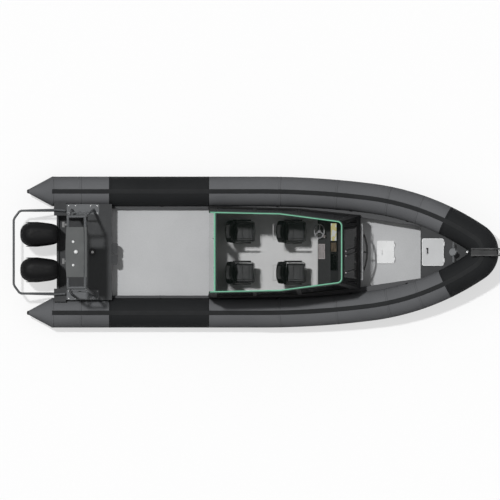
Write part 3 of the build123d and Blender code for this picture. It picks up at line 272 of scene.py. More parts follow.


# Painted shade: in the first block below, the engine well, the hull paint turns near black for the shade
# in that recess.
SHADED_WELL = {"x": (-4.36, -3.70), "y": (None, 0.81)}
SOLE = {"x": (-0.9, 1.36), "y": (None, 0.96)}
# Painted shadow: in the block below, ahead of the cabin, the front rail is painted dark where the cabin's
# shadow falls on it.
RAIL_IN_CABIN_SHADOW = {"x": (2.365, 3.0)}
TONES = {
    # hull paint: near black inside the engine well, as painted shade for that recess
    "hull_paint": paint_with_painted_shade("hull paint with painted well shade", shade(60, 61, 63), shade(16), **SHADED_WELL),
    "light_deck": deck_grip("light deck", shade(182, 183, 184), shade(222), **SOLE),
    "dark_deck": deck_grip("dark deck", shade(62, 63, 64)),
    "tube_grey": collar_fabric("grey collar fabric", shade(97, 98, 100)),
    "tube_black": collar_fabric("black collar fabric", shade(37, 38, 39)),
    "tread_strip": ribbed("ribbed tread", shade(38, 39, 40)),
    "cabin_paint": paint("cabin paint", shade(44, 45, 47), 0.55),
    "frame_black": moulded("window frame black", shade(13, 14, 15), 0.6, level=0.1),
    "tinted_glass": glass("tinted glass", shade(8, 9, 10), 0.9, level=0.16),
    "clear_glass": glass("clear glass", shade(34, 54, 47), 0.3),
    "clear_roof": glass("roof glass", shade(42, 54, 48), 0.06, shade(70, 140, 108)),
    "steel": alloy("stainless steel", shade(190), 0.28, 1.0),
    "console_black": moulded("console black", shade(46, 46, 47), 0.6, grain=0.6, level=0.2),
    "screen_glass": moulded("screen housing", shade(14, 14, 15), 0.3, 0.2),
    "panel_light": moulded("switch panel", shade(168, 160, 160), 0.5),
    "wheel_rim": moulded("wheel rim", shade(150, 150, 152), 0.45),
    "seat_metal": alloy("seat frame metal", shade(96, 98, 100), 0.45, 0.6),
    "seat_grey": vinyl("grey seat vinyl", shade(58, 58, 59)),
    "seat_black": vinyl("black seat vinyl", shade(11, 11, 12)),
    "alloy": alloy("welded alloy", shade(80, 82, 84), 0.5, 0.2),
    "arch_grey": paint("arch panel grey", shade(80, 82, 82), 0.5),
    "dome_white": moulded("dome white", shade(226, 227, 227), 0.25, 0.4),
    "lamp_grey": paint("lamp grey", shade(110), 0.4),
    "post_grey": paint("post grey", shade(104, 106, 108), 0.45, 0.2),
    "roller_rubber": rubber("roller rubber", shade(30)),
    "hatch_white": moulded("hatch white", shade(218, 219, 219), 0.4),
    "hatch_grey": moulded("hatch grey", shade(182, 183, 184), 0.4),
    "engine_grey": paint("bracket paint", shade(34, 35, 36), 0.4),
    "engine_black": paint("engine paint", shade(28, 28, 29), 0.35),
    "cowl_black": moulded("cowl black", shade(19, 19, 20), 0.5, grain=0.1, level=0.12),
    "propeller_steel": alloy("propeller steel", shade(150, 150, 152), 0.3, 1.0),
}
OWN_TONES = {
    "guard_rail": paint("guard rail grey", shade(76, 78, 80), 0.4),
    "bow_channel": paint("bow channel black", shade(32, 33, 34), 0.45),
    # front rail: dark ahead of the cabin front, as painted shadow from the cabin
    "front_rail": paint_with_painted_shade("front rail paint with painted shadow", shade(150, 151, 152), shade(26), **RAIL_IN_CABIN_SHADOW),
    "tow_post": paint("tow post black", shade(34, 34, 35), 0.4),
}
for subpart in frame["record"]["subparts"]:
    node = subpart["node"]
    skin = nodes[node].data.materials
    skin.clear()
    skin.append(OWN_TONES.get(node) or TONES[subpart["material_slot"]])


# Making pieces
def linked(name, data):
    made = bpy.data.objects.new(name, data)
    bpy.context.scene.collection.objects.link(made)
    return made


def evaluated(piece):
    """A plain mesh of a piece with its modifiers run."""
    bpy.context.view_layer.update()
    return bpy.data.meshes.new_from_object(piece.evaluated_get(bpy.context.evaluated_depsgraph_get()))


def settle(name, mesh, body, slot, finish=None, smooth=None):
    """A finished mesh as a piece of the boat, on its body; edges past the angle smooth stay sharp."""
    made = linked(name, mesh)
    mesh.materials.clear()
    mesh.materials.append(finish or TONES[slot])
    if smooth is not None:
        mesh.shade_smooth()
        mesh.set_sharp_from_angle(angle=radians(smooth))
    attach(made, body)
    return made


def mesh_of(name, shape):
    mesh = bpy.data.meshes.new(name)
    shape.to_mesh(mesh)
    shape.free()
    return mesh


def from_bmesh(name, shape, body, slot, finish=None, smooth=None):
    bmesh.ops.recalc_face_normals(shape, faces=shape.faces)
    return settle(name, mesh_of(name, shape), body, slot, finish, smooth)


def edges_of(verts):
    return list(dict.fromkeys(e for v in verts for e in v.link_edges))


def add_box(shape, centre, size, turn=None, round_off=0.0):
    """A block with softened edges, added to a bmesh."""
    place = Matrix.Translation(Vector(centre)) @ (turn.to_4x4() if turn else Matrix.Identity(4))
    made = bmesh.ops.create_cube(shape, size=1, matrix=place @ Matrix.Diagonal((*size, 1)))
    if round_off > 0:
        geom = edges_of(made["verts"])
        bmesh.ops.bevel(shape, geom=geom, offset=round_off, segments=2, affect="EDGES", profile=0.6)


def block(name, centre, size, body, slot, finish=None, smooth=None, turn=None, round_off=0.0):
    """One block as a piece of its own."""
    shape = bmesh.new()
    add_box(shape, centre, size, turn, round_off)
    return from_bmesh(name, shape, body, slot, finish, smooth)


def add_turned(shape, profile, origin, axis, steps):
    """A closed turned form: profile rows of (radius, height) along an axis, with its ends on it."""
    origin, stood = Vector(origin), Vector(axis).to_track_quat("Z", "Y").to_matrix()
    rings = []
    for r, h in profile:
        turns = [2 * pi * k / steps for k in range(1 if r < 1e-6 else steps)]
        spots = [Vector((r * cos(a), r * sin(a), h)) for a in turns]
        rings.append([shape.verts.new(origin + stood @ p) for p in spots])
    for low, high in zip(rings, rings[1:]):
        for k in range(steps):
            a, b = low[k % len(low)], low[(k + 1) % len(low)]
            c, d = high[(k + 1) % len(high)], high[k % len(high)]
            corners = list(dict.fromkeys((a, b, c, d)))
            if len(corners) > 2:
                shape.faces.new(corners)


def turn_between(out, along=None):
    """Turn that takes Z to out and X as near to along as it can be."""
    z = Vector(out).normalized()
    x = Vector(along) if along is not None else z.orthogonal()
    x = (x - z * x.dot(z)).normalized()
    return Matrix((x, z.cross(x), z)).transposed()


# Node trees for what repeats or follows a path
FLOAT = "NodeSocketFloat"


def new_tree(name, sizes):
    """An empty tree with named sizes: its node maker, its inputs and what closes it."""
    tree = bpy.data.node_groups.new(name, "GeometryNodeTree")
    tree.interface.new_socket("Geometry", in_out="INPUT", socket_type="NodeSocketGeometry")
    for label, kind in sizes + [("Finish", "NodeSocketMaterial")]:
        tree.interface.new_socket(label, in_out="INPUT", socket_type=kind)
    tree.interface.new_socket("Geometry", in_out="OUTPUT", socket_type="NodeSocketGeometry")

    def node(kind, inputs=None, **settings):
        return add_node(tree, kind, inputs, **settings)

    given = node("NodeGroupInput").outputs
    result = node("NodeGroupOutput")

    def close(geometry):
        whole = node("GeometryNodeRealizeInstances", {"Geometry": geometry}).outputs[0]
        skin = {"Geometry": whole, "Material": given["Finish"]}
        tree.links.new(node("GeometryNodeSetMaterial", skin).outputs[0], result.inputs[0])
        return tree

    return node, given, close


def bead_tree():
    """A round bead along every run of edges."""
    node, given, close = new_tree("bead along a path", [("Radius", FLOAT), ("Facets", "NodeSocketInt")])
    path = node("GeometryNodeMeshToCurve", {"Mesh": given["Geometry"]}).outputs[0]
    round_of = {"Resolution": given["Facets"], "Radius": given["Radius"]}
    circle = node("GeometryNodeCurvePrimitiveCircle", round_of).outputs[0]
    sweep = {"Curve": path, "Profile Curve": circle, "Fill Caps": True}
    swept = node("GeometryNodeCurveToMesh", sweep).outputs[0]
    return close(node("GeometryNodeSetShadeSmooth", {"Geometry": swept}).outputs[0])


def placed_tree(name, shape, *labels):
    """Copies of one shape on marked points, each with its own turn."""
    node, given, close = new_tree(name, [(label, FLOAT) for label in labels])
    points = node("GeometryNodeMeshToPoints", {"Mesh": given["Geometry"]}).outputs[0]
    turn = node("GeometryNodeInputNamedAttribute", {"Name": "turn"}, data_type="FLOAT_VECTOR").outputs[0]
    spin = node("FunctionNodeEulerToRotation", {0: turn}).outputs[0]
    copies = {"Points": points, "Instance": shape(node, given), "Rotation": spin}
    return close(node("GeometryNodeInstanceOnPoints", copies).outputs[0])


def head_shape(node, given):
    """A fastener's head: washer, then a smaller raised head on it."""
    radius, height = given["Radius"], given["Height"]
    flat = {"Vertices": 16, "Radius": radius, "Depth": height}
    washer = node("GeometryNodeMeshCylinder", flat).outputs[0]
    small = node("ShaderNodeMath", {0: radius, 1: 0.62}, operation="MULTIPLY").outputs[0]
    tall = node("ShaderNodeMath", {0: height, 1: 1.9}, operation="MULTIPLY").outputs[0]
    head = node("GeometryNodeMeshCylinder", {"Vertices": 6, "Radius": small, "Depth": tall}).outputs[0]
    lift = node("ShaderNodeCombineXYZ", {2: height}).outputs[0]
    raised = node("GeometryNodeTransform", {"Geometry": head, "Translation": lift}).outputs[0]
    joined = node("GeometryNodeJoinGeometry", {"Geometry": washer})
    joined.id_data.links.new(raised, joined.inputs[0])
    return joined.outputs[0]


def slat_shape(node, given):
    sides = {0: given["Length"], 1: given["Width"], 2: given["Height"]}
    size = node("ShaderNodeCombineXYZ", sides).outputs[0]
    return node("GeometryNodeMeshCube", {"Size": size}).outputs[0]


def ring_shape(node, given):
    """A flat band round the collar."""
    round_of = {"Resolution": 72, "Radius": given["Radius"]}
    circle = node("GeometryNodeCurvePrimitiveCircle", round_of).outputs[0]
    sides = {"Width": given["Width"], "Height": given["Height"]}
    section = node("GeometryNodeCurvePrimitiveQuadrilateral", sides).outputs[0]
    return node("GeometryNodeCurveToMesh", {"Curve": circle, "Profile Curve": section}).outputs[0]


TREES = {
    "bead": bead_tree(),
    "head": placed_tree("fastener heads", head_shape, "Radius", "Height"),
    "slat": placed_tree("slats", slat_shape, "Length", "Width", "Height"),
    "ring": placed_tree("collar bands", ring_shape, "Radius", "Width", "Height"),
}


def grown(name, seed, tree, sizes, body, slot, finish=None):
    """Runs a node tree over a seed mesh and keeps the result; sizes go in the order of the tree's own."""
    holder = linked(name + ".seed", seed)
    modifier = holder.modifiers.new("grown", "NODES")
    modifier.node_group = TREES[tree]
    items = [i for i in TREES[tree].interface.items_tree if i.in_out == "INPUT" and i.name != "Geometry"]
    for item, value in zip(items, (*sizes, finish or TONES[slot]), strict=True):
        modifier[item.identifier] = value
    mesh = evaluated(holder)
    bpy.data.objects.remove(holder)
    mesh.name = name
    if "turn" in mesh.attributes:
        mesh.attributes.remove(mesh.attributes["turn"])
    return settle(name, mesh, body, slot, finish)


def beads(name, runs, radius, body, slot, finish=None, facets=8):
    """Runs are (points, closed) rows; each becomes a bead of that radius."""
    verts, edges = [], []
    for points, closed in runs:
        start = len(verts)
        verts += [tuple(p) for p in points]
        edges += [(start + k, start + k + 1) for k in range(len(points) - 1)]
        if closed:
            edges.append((start + len(points) - 1, start))
    seed = bpy.data.meshes.new(name)
    seed.from_pydata(verts, edges, [])
    return grown(name, seed, "bead", (radius, facets), body, slot, finish)


def placed(name, spots, tree, sizes, body, slot, finish=None):
    """Copies of a tree's shape; spots are (point, out) or (point, out, along) rows."""
    seed = bpy.data.meshes.new(name)
    seed.from_pydata([tuple(s[0]) for s in spots], [], [])
    turns = seed.attributes.new("turn", "FLOAT_VECTOR", "POINT")
    for k, spot in enumerate(spots):
        turns.data[k].vector = turn_between(*spot[1:]).to_euler()
    return grown(name, seed, tree, sizes, body, slot, finish)


# Reading the frame's own pieces
def merged(node):
    shape = bmesh.new()
    shape.from_mesh(nodes[node].data)
    bmesh.ops.remove_doubles(shape, verts=shape.verts, dist=2e-5)
    return shape


def surface(node):
    shape = merged(node)
    tree = BVHTree.FromBMesh(shape)
    shape.free()
    return tree


def landing(tree, start, toward):
    """Where a straight line first meets a surface: the point and the outward normal there."""
    toward = Vector(toward)
    point, normal = tree.ray_cast(Vector(start), toward.normalized())[:2]
    assert point is not None, start
    return point, normal if normal.dot(toward) < 0 else -normal


def chained(edges):
    """Edges as closed or open runs of points, each run once round."""
    links = {}
    for a, b in edges:
        links.setdefault(a, []).append(b)
        links.setdefault(b, []).append(a)
    runs = []
    while links:
        start = next((v for v in links if len(links[v]) == 1), next(iter(links)))
        run, at = [start], start
        while links.get(at):
            ahead = links[at].pop()
            links[ahead].remove(at)
            if not links[at]:
                del links[at]
            at = ahead
            run.append(at)
        links.pop(at, None)
        closed = run[0] == run[-1]
        runs.append((run[:-1] if closed else run, closed))
    return runs


def face_rims(node, facing, level):
    """Rims of the faces of a piece that look one way, nearer to it than level asks."""
    shape = merged(node)
    way = Vector(facing).normalized()
    chosen = {f for f in shape.faces if f.normal.dot(way) > level}
    rim = [e.verts for e in shape.edges if sum(f in chosen for f in e.link_faces) == 1]
    runs = chained([(a.index, b.index) for a, b in rim])
    points = [v.co.copy() for v in shape.verts]
    shape.free()
    return [([points[k] for k in run], closed) for run, closed in runs if len(run) > 3]


def longest(runs):
    return max(runs, key=lambda run: sum((b - a).length for a, b in zip(run[0], run[0][1:])))


def inset(run, by):
    """A closed level run moved in by a distance."""
    points, closed = run
    count = len(points)
    middle = sum(points, Vector()) / count
    moved = []
    for k in range(count):
        before = (points[k] - points[k - 1]).normalized()
        after = (points[(k + 1) % count] - points[k]).normalized()
        side_a, side_b = UP.cross(before), UP.cross(after)
        if side_a.dot(middle - points[k]) < 0:
            side_a, side_b = -side_a, -side_b
        across_it = (side_a + side_b).normalized()
        moved.append(points[k] + across_it * by / max(across_it.dot(side_a), 0.4))
    return moved, closed


def spaced(run, gap):
    """Spots every so far along a closed level run, facing up."""
    points = run[0] + [run[0][0]]
    lengths = [(b - a).length for a, b in zip(points, points[1:])]
    total = sum(lengths)
    count = max(round(total / gap), 1)
    found = []
    for k in range(count):
        left = total * (k + 0.5) / count
        for a, b, length in zip(points, points[1:], lengths):
            if left <= length:
                found.append((a.lerp(b, left / length), UP, b - a))
                break
            left -= length
    return found


def ribbon(name, run, insets, heights, body, slot, finish=None, gap=None):
    """A flat ring along a closed level run, between two insets and two heights over the run.

    gap(a, b) is true for the stretches that are left open.
    """
    shape = bmesh.new()
    far, near = inset(run, insets[0])[0], inset(run, insets[1])[0]
    low, high = UP * heights[0], UP * heights[1]
    rows = []
    for a, b in zip(far, near):
        rows.append([shape.verts.new(p) for p in (a + low, a + high, b + high, b + low)])
    count = len(rows)
    left_open = [bool(gap and gap(far[k], far[(k + 1) % count])) for k in range(count)]
    for k in range(count):
        row, ahead = rows[k], rows[(k + 1) % count]
        if not left_open[k]:
            for j in range(4):
                shape.faces.new((row[j], row[(j + 1) % 4], ahead[(j + 1) % 4], ahead[j]))
        if left_open[k] != left_open[k - 1]:
            shape.faces.new(row)
    return from_bmesh(name, shape, body, slot, finish)


# Collar: its centreline, from the same sizes as the solids
TUBE_R, TUBE_HALF, TUBE_Z = 0.325, 1.336, 0.375
SLOPE, PITCH_X, PITCH_RUN = radians(4.8), -0.35, 0.35
BOW_X, BOW_R, BOW_TURN = 0.502, 18.85, radians(7.24)
BEND_R, NOSE_R = 5.4, 0.369
# Arcs of the pitched plane, as centre along, centre across and radius
BOW = (BOW_X, TUBE_HALF - BOW_R, BOW_R)
BOW_LEFT = BOW_R - BEND_R
BEND = (BOW_X + BOW_LEFT * sin(BOW_TURN), BOW[1] + BOW_LEFT * cos(BOW_TURN), BEND_R)
NOSE_TURN = acos(-BEND[1] / (BEND_R - NOSE_R))
NOSE = (BEND[0] + (BEND_R - NOSE_R) * sin(NOSE_TURN), 0, NOSE_R)


def level_station(x):
    """A station of the level stretch: point, along, out and up."""
    return Vector((x, TUBE_HALF, TUBE_Z)), FORWARD.copy(), Vector((0, 1, 0)), UP.copy()


def rise_station(share):
    """A station of the stretch that bends up into the pitched plane."""
    radius, turn = PITCH_RUN / tan(SLOPE / 2), SLOPE * share
    x, z = PITCH_X - PITCH_RUN + radius * sin(turn), TUBE_Z + radius * (1 - cos(turn))
    along, up = Vector((cos(turn), 0, sin(turn))), Vector((-sin(turn), 0, cos(turn)))
    return Vector((x, TUBE_HALF, z)), along, Vector((0, 1, 0)), up


def bend_station(arc, turn):
    """A station on an arc of the pitched plane."""
    ahead = Vector((cos(SLOPE), 0, sin(SLOPE)))
    point = Vector((PITCH_X, arc[1] + arc[2] * cos(turn), TUBE_Z)) + ahead * (arc[0] + arc[2] * sin(turn))
    along = ahead * cos(turn) + Vector((0, -sin(turn), 0))
    out = ahead * sin(turn) + Vector((0, cos(turn), 0))
    return point, along, out, Vector((-sin(SLOPE), 0, cos(SLOPE)))


def across(station):
    """The same station on the other side of the boat, with along still running to the bow."""
    return tuple(Vector((v.x, -v.y, v.z)) for v in station)


def both_sides(stations):
    return stations + [across(s) for s in stations]


def collar_stations():
    """Stations from the port stern round the nose to the starboard stern."""
    found = [level_station(x) for x in (-4.44, -3.4, -2.4, -1.4)]
    found += [rise_station(k / 6) for k in range(7)]
    found += [bend_station(BOW, BOW_TURN * k / 10) for k in range(11)]
    found += [bend_station(BEND, BOW_TURN + (NOSE_TURN - BOW_TURN) * k / 26) for k in range(1, 27)]
    found += [bend_station(NOSE, NOSE_TURN + (pi / 2 - NOSE_TURN) * k / 14) for k in range(1, 15)]
    return found + [across(s) for s in reversed(found[:-1])]


def on_collar(station, turn, radius=TUBE_R):
    """A point of the collar's skin; turn runs from the outer side up to the crown at 90."""
    point, _, out, up = station
    return point + (out * cos(radians(turn)) + up * sin(radians(turn))) * radius


# Rub strake: a fat bead with a thin one along each edge, all sunk a little into the skin
RING = collar_stations()
for name, turn, sunk, radius, facets in (
    ("rub_strake", -24, 0.004, 0.026, 12),
    ("strake_edge_1", -12, 0.003, 0.007, 8),
    ("strake_edge_2", -36, 0.003, 0.007, 8),
):
    run = [on_collar(s, turn, TUBE_R - sunk) for s in RING]
    beads(name, [(run, False)], radius, "hull", "tread_strip", facets=facets)

# Seam tapes round the tubes, air valves on the inner side and caps on the cones
TAPE = (TUBE_R, 0.0024, 0.05)
dark_tapes = [level_station(-3.21), level_station(-1.056), bend_station(BEND, radians(25.8))]
grey_tapes = [level_station(-4.47), level_station(-3.86)]
grey_tapes += [bend_station(BOW, radians(t)) for t in (1.2, 5.0)]
grey_tapes += [bend_station(BEND, radians(t)) for t in (11.5, 19.0)]
for name, tapes, slot in (
    ("dark_seam_tapes", dark_tapes, "tube_black"),
    ("grey_seam_tapes", grey_tapes, "tube_grey"),
):
    placed(name, [(s[0], s[1]) for s in both_sides(tapes)], "ring", TAPE, "hull", slot)

VALVE_TURN = 166
valves = [level_station(-3.9), level_station(-2.1)]
valves += [bend_station(BOW, radians(t)) for t in (1.0, 6.0)] + [bend_station(BEND, radians(17))]
valve_spots = [(on_collar(s, VALVE_TURN), on_collar(s, VALVE_TURN) - s[0]) for s in both_sides(valves)]
valve_rubber = rubber("valve rubber", shade(30))
placed("air_valves", valve_spots, "head", (0.032, 0.008), "hull", "roller_rubber", valve_rubber)

CONE_TIP = -5.007
CAP_ROWS = [(0, -0.02), (0.046, -0.02), (0.047, 0.006), (0.038, 0.022), (0.02, 0.031), (0, 0.034)]
tips = bmesh.new()
for side in SIDES:
    add_turned(tips, CAP_ROWS, (CONE_TIP, side * TUBE_HALF, TUBE_Z), (-1, 0, 0), 28)
from_bmesh("cone_caps", tips, "hull", "tread_strip", smooth=50)

# Glass roof: a dark seal and a pale green edge, carried across at the bulkhead
ROOF_AFT, ROOF_TOP, ROOF_BULKHEAD = -1.03, 2.244, -0.912
SEAL_W, EDGE_W = 0.018, 0.022
roof_rim = longest(face_rims("cabin_roof", UP, 0.8))
edge_dark = moulded("roof seal", shade(12, 62, 44), 0.4)
edge_pale = moulded("roof edge glass", shade(112, 182, 150), 0.25, 0.3)


def aft_edge(a, b):
    return max(a.x, b.x) < ROOF_AFT + 0.03


for name, insets, high, finish in (
    ("roof_seal", (0.0, SEAL_W), 0.004, edge_dark),
    ("roof_edge", (SEAL_W, SEAL_W + EDGE_W), 0.003, edge_pale),
):
    ribbon(name, roof_rim, insets, (-0.002, high), "hull", "clear_roof", finish, aft_edge)
roof_wide = 2 * (max(p.y for p in roof_rim[0]) - 0.045)
for name, x, long, high, finish in (
    ("roof_cross_edge", ROOF_BULKHEAD, 0.030, 0.006, edge_pale),
    ("roof_cross_seal", ROOF_BULKHEAD + 0.022, 0.014, 0.008, edge_dark),
):
    block(name, (x, 0, ROOF_TOP), (long, roof_wide, high), "hull", "clear_roof", finish)

# Windows: gaskets round the panes and a belt moulding under them
GASKET_R, BELT_R, BELT_Z = 0.009, 0.013, 1.15
SCREEN_LEAN = (1.08, 0, 0.393)
BELT = [(-1.049, 1.001), (0.968, 0.946), (2.303, 0.801)]
gasket = rubber("window gasket", shade(22))
panes = []
for side in SIDES:
    panes += [run for run in face_rims("side_windows", (0, side, 0), 0.85) if run[0][0].y * side > 0]
panes += face_rims("windscreen", SCREEN_LEAN, 0.93) + face_rims("aft_windows", -FORWARD, 0.9)
beads("window_gaskets", panes, GASKET_R, "hull", "roller_rubber", gasket)
beads("door_gasket", face_rims("door_window", -FORWARD, 0.9), GASKET_R, "door", "roller_rubber", gasket)
for side, word in SIDE_NAMES:
    run = [Vector((x, side * (y + 0.001), BELT_Z)) for x, y in BELT]
    beads("belt_moulding_" + word, [(run, False)], BELT_R, "hull", "roller_rubber", gasket)

# Wipers: a linked pair of arms amidships and a single arm to starboard, over the windscreen
SPINDLES_Y, SPINDLE_X, BLADE_X = (0.018, -0.086, -0.455), 1.971, 2.19
SPINDLE_ROWS = [(0, -0.01), (0.017, -0.01), (0.017, 0.012), (0.011, 0.02), (0, 0.022)]
BLADES_Y = ((-0.20, 0.34), (-0.56, -0.24))
PANE_Y = 0.1
screen_face = surface("windscreen")


def on_screen(x, y):
    """A point on the plane of the windscreen, read on the middle pane."""
    point, out = landing(screen_face, (x, PANE_Y, 4), DOWN)
    return Vector((point.x, y, point.z)), out


spindles, arms, blades = bmesh.new(), [], []
for y in SPINDLES_Y:
    top, out = on_screen(SPINDLE_X, y)
    add_turned(spindles, SPINDLE_ROWS, top, out, 20)
    foot, foot_out = on_screen(BLADE_X, y + 0.08)
    elbow = top + out * 0.028 + Vector((0.02, 0.008, 0))
    arms.append(([top + out * 0.012, elbow, foot + foot_out * 0.018], False))
for ends in BLADES_Y:
    blades.append(([p + n * 0.012 for p, n in (on_screen(BLADE_X, y) for y in ends)], False))
spindle_caps = moulded("spindle caps", shade(176, 172, 174), 0.35)
from_bmesh("wiper_spindles", spindles, "hull", "steel", spindle_caps, 40)
beads("wiper_arms", arms, 0.0055, "hull", "engine_grey")
beads("wiper_blades", blades, 0.009, "hull", "roller_rubber")


# Helm: display faces in their bezels, switches, grab bar
def sloped(angle):
    """A face that rises forward at an angle: the way up it and the way out of it."""
    return Vector((cos(angle), 0, sin(angle))), Vector((-sin(angle), 0, cos(angle)))


SCREEN_X, SCREEN_Z, PAGE_UP, PAGE_OUT = 1.640, 1.110, 0.125, 0.0245
PAGE_LONG, PAGE_THICK, PAGE_MARGIN = 0.176, 0.003, 0.03
screen_up, screen_out = sloped(radians(46.3))
for name, high, low, finish in (
    ("chart_page", 0.647, 0.236, chart_display("chart page")),
    ("sounder_page", 0.222, -0.006, sounder_display("sounder page")),
    ("dark_page", -0.020, -0.405, moulded("dark page", shade(7), 0.12, 0.4)),
):
    middle = Vector((SCREEN_X, (high + low) / 2, SCREEN_Z)) + screen_up * PAGE_UP + screen_out * PAGE_OUT
    size = (PAGE_LONG, high - low - PAGE_MARGIN, PAGE_THICK)
    block(name, middle, size, "hull", "screen_glass", finish, turn=turn_between(screen_out, screen_up))

PANEL_X, PANEL_Z, PANELS_Y = 1.357, 1.040, ((0.178, 0.048), (0.038, -0.152))
KEY, KEY_GAP, KEY_ROWS, ROW_GAP, FIRST_ROW = (0.018, 0.012, 0.008), 0.022, 4, 0.030, 0.045
panel_up, panel_out = sloped(radians(15.3))
keys = []
for high, low in PANELS_Y:
    columns = int((high - low - 0.02) / KEY_GAP)
    for row in range(KEY_ROWS):
        for column in range(columns):
            foot = Vector((PANEL_X, (high + low) / 2 + (column - (columns - 1) / 2) * KEY_GAP, PANEL_Z))
            lift = panel_up * (FIRST_ROW + row * ROW_GAP) + panel_out * 0.010
            keys.append((foot + lift, panel_out, panel_up))
rocker_grey = moulded("rocker grey", shade(70), 0.4)
placed("rocker_switches", keys, "slat", KEY, "hull", "console_black", rocker_grey)

LIP_X, LIP_Z, LIP_Y = 1.350, 1.070, (0.284, -0.72)
lip = [(LIP_X + 0.022, LIP_Y[0] + 0.016, LIP_Z - 0.01), (LIP_X, LIP_Y[0], LIP_Z)]
lip += [(LIP_X, LIP_Y[1], LIP_Z), (LIP_X + 0.022, LIP_Y[1] - 0.016, LIP_Z - 0.01)]
beads("helm_grab_bar", [(lip, False)], 0.014, "hull", "alloy", moulded("grab bar", shade(206), 0.4), 12)

# Engines: the cowls as smooth mouldings over the plain solids, with grooves, vents and a handle
ENGINE_Y = 0.391
COWL_AFT, COWL_FORE, COWL_HALF, COWL_STEPS = -5.188, -4.330, 0.275, 88
COWL_LOW, COWL_WAIST, COWL_CROWN, COWL_TOP = 0.490, 0.740, 0.927, 1.062
COWL_WIDE = COWL_AFT + 0.44 * (COWL_FORE - COWL_AFT)
VENTS, VENT, VENT_STEP = 6, (0.17, 0.010, 0.008), (0.016, 0.032)
HANDLE_Z, HANDLE = 0.60, (0.016, 0.15, 0.036)
# Levels of the shell, as height and how far it is sunk
COWL_EDGE = [(COWL_LOW, 0.012), (0.494, 0.003)]
COWL_SPLIT = [(0.6400, 0.0), (0.6425, 0.006), (0.6500, 0.006), (0.6525, 0.0)]
COWL_LINE = [(0.912, 0.0), (0.916, 0.005), (0.923, 0.005), (COWL_CROWN, 0.0)]
COWL_PLAIN = [(z, 0.0) for z in (0.505, 0.56, 0.61, 0.70, 0.74, 0.79, 0.84, 0.88)]


def cowl_level(z):
    """Shares of the half breadth, tail length and nose length at a height."""
    if z >= COWL_WAIST:
        breadth = max(1 - ((z - COWL_WAIST) / (COWL_TOP - COWL_WAIST)) ** 3, 0.0) ** (1 / 3)
        return breadth, breadth**0.75, breadth**0.35 if breadth > 0.3 else breadth * 0.3**-0.65
    fall = ((COWL_WAIST - z) / (COWL_WAIST - COWL_LOW)) ** 2
    return 1 - 0.15 * fall, 1 - 0.17 * fall, 1 - 0.03 * fall


def cowl_point(z, k, sunk, mid):
    """Point k of the rim at a height: from the nose round the port side to the tail and back."""
    breadth, tail, nose = cowl_level(z)
    turn = 2 * pi * k / COWL_STEPS
    run = abs(cos(turn))
    side = 1 if sin(turn) >= 0 else -1
    if cos(turn) >= 0:
        x = COWL_WIDE + run * ((COWL_FORE - COWL_WIDE) * nose - sunk)
        y = (1 - 0.2 * run) * max(1 - run**5, 0.0) ** 0.2
    else:
        x = COWL_WIDE + run * ((COWL_AFT - COWL_WIDE) * tail + sunk)
        y = max(1 - run**2.6, 0.0) ** (1 / 2.6)
    return Vector((x, side * y * (COWL_HALF * breadth - sunk), z)) + Vector((0, mid, 0))


def cowl_shell(mid):
    """The closed shell of a cowl: rims at rising levels, and a pole at each end."""
    shape = bmesh.new()
    levels = sorted(COWL_EDGE + COWL_PLAIN + COWL_SPLIT + COWL_LINE)
    span = COWL_TOP - COWL_CROWN
    levels += [(COWL_CROWN + span * (1 - (1 - k / 9) ** 2.2), 0.0) for k in range(1, 9)]
    steps = range(COWL_STEPS)
    rings = [[shape.verts.new(cowl_point(z, k, sunk, mid)) for k in steps] for z, sunk in levels]
    for low, high in zip(rings, rings[1:]):
        for k in steps:
            ahead = (k + 1) % COWL_STEPS
            shape.faces.new((low[k], low[ahead], high[ahead], high[k]))
    for ring, z in ((rings[0], COWL_LOW), (rings[-1], COWL_TOP)):
        pole = shape.verts.new((COWL_WIDE, mid, z))
        for k in steps:
            shape.faces.new((ring[k], ring[(k + 1) % COWL_STEPS], pole))
    return shape


for side, word in SIDE_NAMES:
    body, mid = "engine_" + word, side * ENGINE_Y
    shape = cowl_shell(mid)
    skin = BVHTree.FromBMesh(shape)
    cowl = from_bmesh("cowl_" + word, shape, body, "cowl_black", smooth=40)
    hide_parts("engine_cowl_" + word)
    vents = []
    for way in SIDES:
        for row in range(VENTS):
            start = (-4.98 + row * VENT_STEP[0], mid + way * 0.6, 0.700 + row * VENT_STEP[1])
            vents.append((*landing(skin, start, (0, -way, 0)), FORWARD))
    placed("cowl_vents_" + word, vents, "slat", VENT, body, "engine_grey")
    grip_at = landing(skin, (-6, mid, HANDLE_Z), FORWARD)[0]
    block("cowl_handle_" + word, grip_at, HANDLE, body, "engine_grey", smooth=50, round_off=0.007)

# Fasteners of the arch's base plates, the engine clamps and the hatch lids
PLATE_X, PLATE_Y, PLATE_TOP = (-4.12, -3.97, -3.64, -3.49), (0.86, 1.022), 0.716
CLAMP_X, CLAMP_OUT, CLAMP_Z = -4.3365, 0.107, (0.13, 0.18, 0.25, 0.28)
SCREW_IN, SCREW_GAP = 0.022, 0.12
plate_spots = [(Vector((x, s * y, PLATE_TOP)), UP) for s in SIDES for x in PLATE_X for y in PLATE_Y]
placed("arch_bolts", plate_spots, "head", (0.013, 0.006), "hull", "steel")
clamps_y = [side * ENGINE_Y + way * CLAMP_OUT for side in SIDES for way in (-1, 1)]
clamp_spots = [(Vector((CLAMP_X, y, z)), FORWARD) for y in clamps_y for z in CLAMP_Z]
placed("clamp_bolts", clamp_spots, "head", (0.015, 0.007), "hull", "steel")
lid_rims = {}
for body in ("fore_hatch", "bow_hatch"):
    lid_rims[body] = longest(face_rims(body + "_lid", UP, 0.99))
    screws = spaced(inset(lid_rims[body], SCREW_IN), SCREW_GAP)
    placed(body + "_lid_screws", screws, "head", (0.0065, 0.003), body, "steel")

